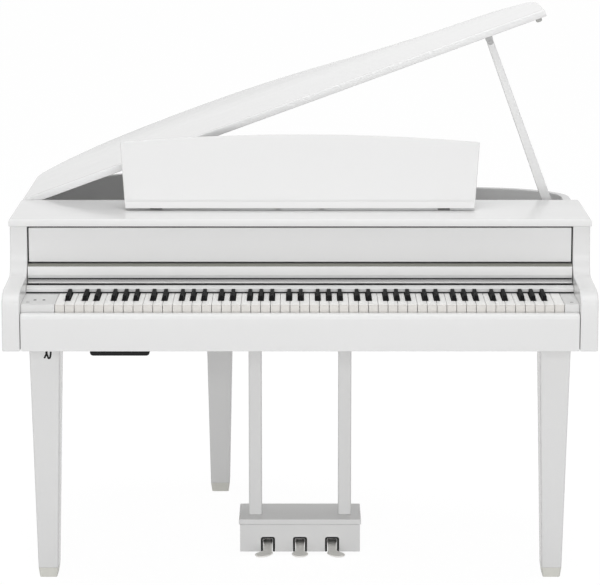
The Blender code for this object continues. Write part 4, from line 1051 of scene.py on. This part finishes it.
# Music desk
# A thin lacquered board with a gently arched top leans on a stay. A ledge with a low lip is glued
# along its foot, and two dark barrel hinges carry it on the top board. The stay is a stamped plate
# with a wide window, open towards its foot.
DESK_AXIS = Vector(JOINTS["desk_fold"]["pos_m"])
DESK_LEAN = math.radians(90 - JOINTS["desk_fold"]["range_deg"][1])
DESK_WALL = 0.010
DESK_BACK = 0.001
DESK_LOW_HALF = 0.4375
DESK_HIGH_HALF = 0.452
DESK_SIDE = 0.163
DESK_MIDDLE = 0.183
DESK_FOOT = -0.0031
BOARD_FOOT = -0.0051
LEDGE_DEEP = 0.019
LEDGE_WALL = 0.007
LEDGE_LIP = 0.010
LEDGE_LIP_WALL = 0.003
LEDGE_SAG = 0.0072
BARREL = 0.0062
BARREL_HALF = 0.015
BARREL_AT = 0.360
BARREL_PARTS = ((-1, -0.3), (-0.27, 0.27), (0.3, 1))
LEANT = Matrix.Translation(DESK_AXIS) @ Matrix.Rotation(-DESK_LEAN, 4, "X")

face = -DESK_BACK - DESK_WALL
outline = [(-DESK_LOW_HALF, BOARD_FOOT), (DESK_LOW_HALF, BOARD_FOOT)]
for step in range(49):
    across = DESK_HIGH_HALF * (1 - step / 24)
    crown = (DESK_MIDDLE - DESK_SIDE) * (1 - (across / DESK_HIGH_HALF) ** 2)
    outline.append((across, DESK_SIDE + crown))
board = prism(outline, "Y", face, face + DESK_WALL)
make("desk_board", moved(board, LEANT), LACQUER, "desk", "lacquer", "music_desk", ease=0.0022, turns=4)
lip = face - LEDGE_DEEP + LEDGE_LIP_WALL
profile = [
    (face, DESK_FOOT),
    (face, DESK_FOOT + LEDGE_WALL),
    (lip + 0.001, DESK_FOOT + LEDGE_WALL),
    (lip, DESK_FOOT + LEDGE_LIP),
    (face - LEDGE_DEEP, DESK_FOOT + LEDGE_LIP),
    (face - LEDGE_DEEP, DESK_FOOT - LEDGE_SAG),
]
ledge = prism(profile, "X", SHADOW - DESK_LOW_HALF, DESK_LOW_HALF - SHADOW)
make("desk_ledge", moved(ledge, LEANT), LACQUER, "desk", "lacquer", ease=0.0010)
barrels = bmesh.new()
for side in (-1, 1):
    for low, high in BARREL_PARTS:
        low, high = (side * BARREL_AT + at * BARREL_HALF for at in (low, high))
        prism(disc(BARREL, 28), "X", low, high, barrels)
make("desk_hinge_barrels", moved(barrels, LEANT), DARK_GREY, "desk", "black_plastic", ease=0.0006, turns=2)
STAY_LOW, STAY_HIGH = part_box("desk_stay")
STAY_EDGE = 0.002
STAY_BORDER = 0.010
stay_foot = Vector(JOINTS["stay_fold"]["pos_m"])
stay_tip = Vector((0, STAY_LOW.y + STAY_EDGE, STAY_HIGH.z - STAY_EDGE))
stay_turn = math.degrees(math.atan2(stay_tip.z - stay_foot.z, stay_tip.y - stay_foot.y))
outline = arc(stay_foot.y, stay_foot.z, STAY_EDGE, stay_turn + 90, 180, 8)
outline += arc(stay_tip.y, stay_tip.z, STAY_EDGE, stay_turn - 90, 180, 8)
window = box(
    (STAY_LOW.x + STAY_BORDER, STAY_LOW.y - STAY_BORDER, STAY_LOW.z - STAY_BORDER),
    (STAY_HIGH.x - STAY_BORDER, STAY_HIGH.y + STAY_BORDER, STAY_HIGH.z - STAY_BORDER),
)
plate = carve(prism(outline, "X", STAY_LOW.x, STAY_HIGH.x), window)
make("stay_frame", plate, LACQUER, "stay", "hinge_steel", "desk_stay", ease=0.0004, turns=2)

# Jack box and headphone hook
# A black moulded box under the keybed holds two headphone sockets in front and the mains inlet
# behind. Beside it hangs a headphone hook, a short peg and a bent finger on a screwed plate.
JACK_LOW, JACK_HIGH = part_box("jack_box")
JACK_ROUND = 0.008
SOCKETS = (0.034, 0.062)
SOCKET_RADIUS = 0.00325
SOCKET_DEEP = 0.014
INLET = (0.024, 0.016, 0.012)
BLADE = (0.0016, 0.0050)
BLADE_AT = 0.0043
BLADE_SHORT = 0.003
BLADE_GAP = 0.0002
BEZEL_IN = (-0.0002, -0.0006)
BEZEL_RIM = ((0.0022, 0.0), (0.0022, 0.0004), (0.0016, 0.0009))

outline = [(JACK_LOW.x, JACK_HIGH.z), (JACK_HIGH.x, JACK_HIGH.z)]
for corner, first in ((JACK_HIGH.x - JACK_ROUND, 0), (JACK_LOW.x + JACK_ROUND, -90)):
    outline += arc(corner, JACK_LOW.z + JACK_ROUND, JACK_ROUND, first, -90, 8)
shell = prism(outline, "Y", JACK_LOW.y, JACK_HIGH.y)
height = (JACK_LOW.z + JACK_HIGH.z) / 2
to_front = Matrix.Translation((JACK_LOW.x, JACK_LOW.y, height)) @ Matrix.Rotation(math.radians(90), 4, "X")
holes = bmesh.new()
bezels = bmesh.new()
inner, outer = (SOCKET_RADIUS + inset for inset in BEZEL_IN)
profile = [
    (0, EDGE - SOCKET_DEEP),
    (inner, EDGE - SOCKET_DEEP),
    (inner, 0.0),
    *[(SOCKET_RADIUS + out, proud) for out, proud in BEZEL_RIM],
    (outer, BEZEL_RIM[-1][1]),
    (outer, 2 * EDGE - SOCKET_DEEP),
    (0, 2 * EDGE - SOCKET_DEEP),
]
for across in SOCKETS:
    plug(SOCKET_RADIUS, SOCKET_RADIUS, -SOCKET_DEEP, (across, 0), holes, 28)
    turned(profile, (across, 0), 28, bezels)
moved(holes, to_front)
moved(bezels, to_front)
middle = (JACK_LOW.x + JACK_HIGH.x) / 2
box(
    (middle - INLET[0] / 2, JACK_HIGH.y - INLET[1], height - INLET[2] / 2),
    (middle + INLET[0] / 2, JACK_HIGH.y + INLET[1], height + INLET[2] / 2),
    holes,
)
shell = carve(shell, holes)
make("jack_box_shell", shell, BLACK_PLASTIC_AND_SHADE, "case", "black_plastic", "jack_box", ease=0.0006)
make("socket_bezels", bezels, BLACK_PLASTIC_AND_SHADE, "case", "black_plastic")
blades = bmesh.new()
for across in (middle - BLADE_AT, middle + BLADE_AT):
    box(
        (across - BLADE[0] / 2, JACK_HIGH.y - INLET[1] + BLADE_GAP, height - BLADE[1] / 2),
        (across + BLADE[0] / 2, JACK_HIGH.y - BLADE_SHORT, height + BLADE[1] / 2),
        blades,
    )
make("inlet_blades", blades, STEEL, "case", "hinge_steel", ease=0.0003, turns=2)

HOOK_LOW, HOOK_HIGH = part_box("headphone_hook")
HOOK_PLATE = 0.0025
HOOK_BAR = 0.0023
HOOK_FLAT = 1.35
hook_x, hook_y, _ = (HOOK_LOW + HOOK_HIGH) / 2
plate = box((HOOK_LOW.x, HOOK_LOW.y, HOOK_HIGH.z - HOOK_PLATE), HOOK_HIGH)
make("hook_plate", plate, BLACK_PLASTIC_AND_SHADE, "case", "black_plastic", "headphone_hook", ease=0.0009)


def tube(knots):
    """A bar bent through knots in the plane of the hook, and deeper than it is wide."""
    line = [Vector(at) for at in smooth_path(knots, 12)]
    rings = []
    for index, (a, b) in enumerate(line):
        way = (line[min(index + 1, len(line) - 1)] - line[max(index - 1, 0)]).normalized()
        around = disc(HOOK_BAR, 12)
        rings.append([(a + out * way.y, hook_y + HOOK_FLAT * deep, b - out * way.x) for out, deep in around])
    return skin(rings)


bottom = HOOK_LOW.z + 0.0024
stem = (hook_x - 0.0017, HOOK_HIGH.z - 0.002, -90, 0.005)
peg = (
    stem,
    (hook_x - 0.0030, bottom + 0.0085, -112, 0.003),
    (hook_x - 0.0068, bottom + 0.0004, -108, 0.003),
)
finger = (
    stem,
    (hook_x + 0.0004, bottom + 0.0068, -66, 0.003),
    (hook_x + 0.0042, bottom, 0, 0.0024),
    (hook_x + 0.0080, bottom + 0.0075, 82, 0.004),
    (hook_x + 0.0085, bottom + 0.0158, 90, 0.003),
)
for name, knots in (("peg", peg), ("finger", finger)):
    make("hook_" + name, tube(knots), BLACK_PLASTIC_AND_SHADE, "case", "black_plastic")

# Legs
# Three square legs that taper to the floor, lacquered like the case. Each stands on its own moulded
# cream cap, with a fine seam between the two, and bolts into a plate under the case.
CREAM = coat(
    # Satin cream plastic with a soft moulding haze.
    "cream_foot_plastic", (0.72, 0.715, 0.66), (0.78, 0.775, 0.73), grain=(900.0, 2.0),
    bump=(0.12, 0.0001), rough=(0.34, 0.12, 0.0), cloud=(60.0, 2.0),
)
LEG_ROUND = 0.0045
LEG_TAPERS = {
    "front_left": ((0.078, 0.104), (0.050, 0.070), 0.236, 0.253),
    "front_right": ((0.078, 0.104), (0.050, 0.070), 0.236, 0.253),
    "rear": ((0.080, 0.088), (0.053, 0.060), 1.080, 1.092),
}
CAP_TAPER = 0.0035
CASE_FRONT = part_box("left_arm")[0].y


def tapered(across, upper, lower, top, bottom):
    """A four-sided post between an upper and a lower rectangle of (front, width, depth)."""
    corners = ((-1, 0), (1, 0), (1, 1), (-1, 1))
    loops = []
    for (front, wide, deep), height in ((lower, bottom), (upper, top)):
        loops.append([(across + side * wide / 2, front + behind * deep, height) for side, behind in corners])
    shape = skin(loops)
    soften(shape, LEG_ROUND, lambda one, two: abs(one.z - two.z) > (top - bottom) / 2, 5)
    return shape


for name, (upper, lower, upper_front, lower_front) in LEG_TAPERS.items():
    leg_low, leg_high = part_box(name + "_leg")
    across = (leg_low.x + leg_high.x) / 2
    wide, deep = lower
    at_floor = (CASE_FRONT + lower_front, wide, deep)
    at_case = (CASE_FRONT + upper_front, *upper)
    leg = tapered(across, at_case, at_floor, leg_high.z, leg_low.z)
    make(name + "_leg_post", leg, LACQUER, "case", "lacquer", name + "_leg", ease=0.0007, turns=2)
    tread = (at_floor[0] + CAP_TAPER, wide - 2 * CAP_TAPER, deep - 2 * CAP_TAPER)
    cap = tapered(across, at_floor, tread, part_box(name + "_foot")[1].z, 0.0)
    make(name + "_foot_cap", cap, CREAM, "case", "cream_cap", name + "_foot", ease=0.0012)

# Lyre
# Two square posts hang the pedal box under the keybed. The box is lacquered board with an
# overhanging cap, and each pedal comes out of it through a slot lined with a plated collar. A black
# lining round each collar is painted shade in the slot.
POST_ROUND = 0.005
BOX_LOW, BOX_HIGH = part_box("pedal_box")
BOX_CAP = 0.0136
CAP_OVER = 0.003
CAP_ROUND = 0.003
CAP_GROOVE = 0.0014
SLOT_HALF = 0.01825
SLOT_TALL = 0.039
SLOT_DEEP = 0.087
SLOT_ROUND = 0.0060
SLOT_CORNER = 0.0012
PEDAL_AT = 0.083
SLOT_RING = 0.0048
COLLAR = 0.0062
COLLAR_DEEP = (0.0020, 0.010)
LINING_IN = 0.0004
ADJUSTER_EASE = 0.0008

for side in ("left", "right"):
    low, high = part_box(side + "_lyre_post")
    post = box(low, high)
    soften(post, POST_ROUND, lambda one, two: abs(one.z - two.z) > POST_ROUND, 5)
    make(side + "_lyre_bar", post, LACQUER, "case", "lacquer", side + "_lyre_post", ease=0.0007, turns=2)

front = BOX_LOW.y + CAP_OVER
back = BOX_HIGH.y - CAP_OVER
half = BOX_HIGH.x - CAP_OVER
under_cap = BOX_HIGH.z - BOX_CAP


def slot_outline(centre, inset=0.0, foot=0.0):
    """The arch of a slot from its left foot over to its right foot."""
    points = [(centre - SLOT_HALF + inset, BOX_LOW.z - foot)]
    radius = max(SLOT_ROUND - inset, SLOT_CORNER)
    corner = SLOT_HALF - inset - radius
    for side, first in ((-1, 180), (1, 90)):
        points += arc(centre + side * corner, BOX_LOW.z + SLOT_TALL - inset - radius, radius, first, -90, 6)
    points.append((centre + SLOT_HALF - inset, BOX_LOW.z - foot))
    return points


slots = bmesh.new()
for side in (-1, 0, 1):
    prism(slot_outline(side * PEDAL_AT, foot=CAP_OVER), "Y", front - CAP_OVER, front + SLOT_DEEP, slots)
block = carve(box((-half, front, BOX_LOW.z), (half, back, under_cap - CAP_GROOVE)), slots)
make("pedal_box_body", block, LACQUER, "case", "lacquer", "pedal_box", ease=0.0009)
cap = box((BOX_LOW.x, BOX_LOW.y, under_cap), BOX_HIGH)
soften(cap, CAP_ROUND, lambda one, two: min(one.z, two.z) > BOX_HIGH.z - CLEAR, 5)
make("pedal_box_cap", cap, LACQUER, "case", "lacquer", ease=0.0007, turns=2)
neck = box(
    (CAP_OVER - half, front + CAP_OVER, under_cap - CAP_GROOVE), (half - CAP_OVER, back - CAP_OVER, under_cap)
)
make("pedal_box_neck", neck, LACQUER, "case", "lacquer")

NICKEL = coat(
    # Bright nickel plate, finely polished.
    "nickel_plate", (0.42, 0.42, 0.415), (0.52, 0.52, 0.51), grain=(80.0, 3.0),
    bump=(0.03, 0.0002), rough=(0.14, 0.12, 0.0), Metallic=1.0,
)
collars = bmesh.new()
shade_linings = bmesh.new()
for side in (-1, 0, 1):
    arch = slot_outline(side * PEDAL_AT, SLOT_RING)
    inside = slot_outline(side * PEDAL_AT, COLLAR)
    prism(arch + inside[::-1], "Y", front + COLLAR_DEEP[0], front + COLLAR_DEEP[1], collars)
    # The black lining round each collar is painted shade in the slot.
    ring = slot_outline(side * PEDAL_AT, CLEAR)
    prism(ring + arch[::-1], "Y", front + LINING_IN, front + SLOT_DEEP - CLEAR, shade_linings)
make("slot_collars", collars, NICKEL, "case", "pedal_metal", ease=0.0005, turns=2)
make("slot_linings", shade_linings, BLACK_PLASTIC_AND_SHADE, "case", "black_plastic")
low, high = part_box("pedal_adjuster")
centre = ((low + high) / 2).xy
radius = (high.x - low.x) / 2
profile = [(0, high.z), (radius - ADJUSTER_EASE, high.z), (radius, high.z - ADJUSTER_EASE)]
profile += [(radius, EDGE), (radius - EDGE, 0.0), (0, 0.0)]
make("adjuster_foot", turned(profile, centre), CREAM, "case", "cream_cap", "pedal_adjuster")

# Pedals
# Three forged pedals with a warm silver plate. Half of their brightness is a pale diffuse colour
# that is painted reflection of the white room. Each is crowned across, narrows at the neck where it
# enters the box and widens to a rounded toe, and the outer two bend away from the middle.
PEDAL_PLATE_AND_REFLECTION = coat(
    # Warm plate, polished along the pedal and dulled in patches; its diffuse half is painted reflection.
    "warm_silver_plate_and_painted_reflection", (0.80, 0.79, 0.76), (0.88, 0.87, 0.84), grain=((900.0, 40.0, 900.0), 3.0),
    bump=(0.06, 0.0001), rough=(0.38, 0.10, 0.12), cloud=(25.0, 3.0), Metallic=0.5,
)
TOE_HALF = 0.021
TOE_LONG = 0.022
NECK_HALF = 0.0112
FLARE = 0.050
OUTWARD = 0.0155
CROWN = 0.8
TOE_TIP = 0.15
HUB = 0.0068
HALF_THICK = 0.004
SQUARE = 0.45


def eased(share):
    """A share from 0 to 1, slow at both ends."""
    share = min(share, 1.0)
    return share * share * (3 - 2 * share)


for name, side in (("left_pedal", -1), ("middle_pedal", 0), ("right_pedal", 1)):
    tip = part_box(name)[0].y
    axis = Vector(JOINTS[name + "_press"]["pos_m"])
    rings = []
    stations = [TOE_LONG * (1 - math.cos(math.radians(4 + 86 * step / 14))) for step in range(15)]
    stations += [TOE_LONG + (FLARE - TOE_LONG) * step / 10 for step in range(1, 11)]
    stations += [FLARE + 0.03, axis.y - tip]
    for along in stations:
        if along < TOE_LONG:
            half = TOE_HALF * math.sqrt(1 - (1 - along / TOE_LONG) ** 2)
        else:
            half = TOE_HALF + (NECK_HALF - TOE_HALF) * eased((along - TOE_LONG) / (FLARE - TOE_LONG))
        drift = side * OUTWARD * (1 - eased(along / FLARE))
        thick = HALF_THICK * math.sqrt(1 - (1 - min(along / HALF_THICK, 1.0)) ** 2)
        share = min(along / FLARE, 1.0)
        dome = TOE_TIP + (1 - TOE_TIP) * math.sqrt(share * (2 - share))
        ring = []
        for c, s in disc(1, 32):
            x = half * math.copysign(abs(c) ** SQUARE, c)
            z = thick * (dome * s**CROWN if s > 0 else -(abs(s) ** CROWN))
            ring.append((side * PEDAL_AT + drift + x, tip + along, axis.z + z))
        rings.append(ring)
    shape = skin(rings)
    hub = disc(HUB, 20, axis.y, axis.z)
    prism(hub, "X", side * PEDAL_AT - NECK_HALF - SHADOW, side * PEDAL_AT + NECK_HALF + SHADOW, shape)
    make(name + "_forging", shape, PEDAL_PLATE_AND_REFLECTION, name, "pedal_metal", name)

# Studio
# A white floor that runs back out of sight, a white room and two soft lamps. What the camera sees of
# the floor is part light of its own, so that it is white and still takes a shadow.
FLOOR_HALF = 30.0
FLOOR_DROP = 0.0002
FLOOR_GLOW = 0.88
GLOW_STRENGTH = 1.08
ROOM_LIGHT = 0.42
LAMPS = (
    ("overhead_lamp", 78.0, 3.0, 3.0, (0.0, -0.5, 4.6), (0.0, -0.2, 0.8)),
    ("front_lamp", 186.0, 4.0, 2.6, (0.0, -7.3, 1.4), (0.0, 0.0, 0.7)),
)
CAMERA_AT = (0.0, -7.1234, 2.0161)
CAMERA_TILT = 9.5652
CAMERA_LENS = 166.87
CAMERA_SHIFT = -0.0975
WHITE = (1.0, 1.0, 1.0, 1.0)


def shown(root):
    """1 for the rays that show the background: straight ones, and those off gloss or through glass."""
    rays = root.tree.nodes.new("ShaderNodeLightPath")
    kinds = ("Camera", "Glossy", "Transmission")
    straight, mirrored, through = (Wire(root.tree, rays.outputs[f"Is {kind} Ray"]) for kind in kinds)
    return straight.math("MAXIMUM", straight.math("MAXIMUM", straight, mirrored), through)


paint = bpy.data.materials.new("white_floor")
paint.use_nodes = True
paint.node_tree.nodes.clear()
root = Wire(paint.node_tree)
dust = root.noise(root.node("ShaderNodeTexCoord", output="Object"), 3.0)
matt = root.node("ShaderNodeBsdfDiffuse", {"Color": root.tint(dust, (0.82, 0.82, 0.82), (0.84, 0.84, 0.84))})
glow = root.node("ShaderNodeEmission", {"Color": WHITE, "Strength": GLOW_STRENGTH})
both = root.node("ShaderNodeMixShader", {0: shown(root) * FLOOR_GLOW, 1: matt, 2: glow})
root.node("ShaderNodeOutputMaterial", {"Surface": both})
sheet = bmesh.new()
corners = oblong(-FLOOR_HALF, -FLOOR_HALF, FLOOR_HALF, FLOOR_HALF)
sheet.faces.new([sheet.verts.new((x, y, -FLOOR_DROP)) for x, y in corners])
floor = stock("floor", sheet, SCENE)
floor.data.materials.append(paint)

world = bpy.data.worlds.new("white_room")
world.use_nodes = True
world.node_tree.nodes.clear()
root = Wire(world.node_tree)
lit = root.node("ShaderNodeBackground", {"Color": WHITE, "Strength": ROOM_LIGHT})
seen = root.node("ShaderNodeBackground", {"Color": WHITE, "Strength": 1.0})
both = root.node("ShaderNodeMixShader", {0: shown(root), 1: lit, 2: seen})
root.node("ShaderNodeOutputWorld", {"Surface": both})
bpy.context.scene.world = world

for name, power, wide, tall, place, aim in LAMPS:
    light = bpy.data.lights.new(name, "AREA")
    light.energy = power
    light.shape = "RECTANGLE"
    light.size = wide
    light.size_y = tall
    lamp = bpy.data.objects.new(name, light)
    lamp.location = place
    lamp.rotation_euler = (Vector(aim) - Vector(place)).to_track_quat("-Z", "Y").to_euler()
    SCENE.objects.link(lamp)

lens = bpy.data.cameras.new("camera")
lens.lens = CAMERA_LENS
lens.sensor_width = 36.0
lens.shift_y = CAMERA_SHIFT
camera = bpy.data.objects.new("camera", lens)
camera.location = CAMERA_AT
camera.rotation_euler = (math.radians(90.0 - CAMERA_TILT), 0.0, 0.0)
SCENE.objects.link(camera)
bpy.context.scene.camera = camera
bpy.context.scene.view_settings.view_transform = "Standard"
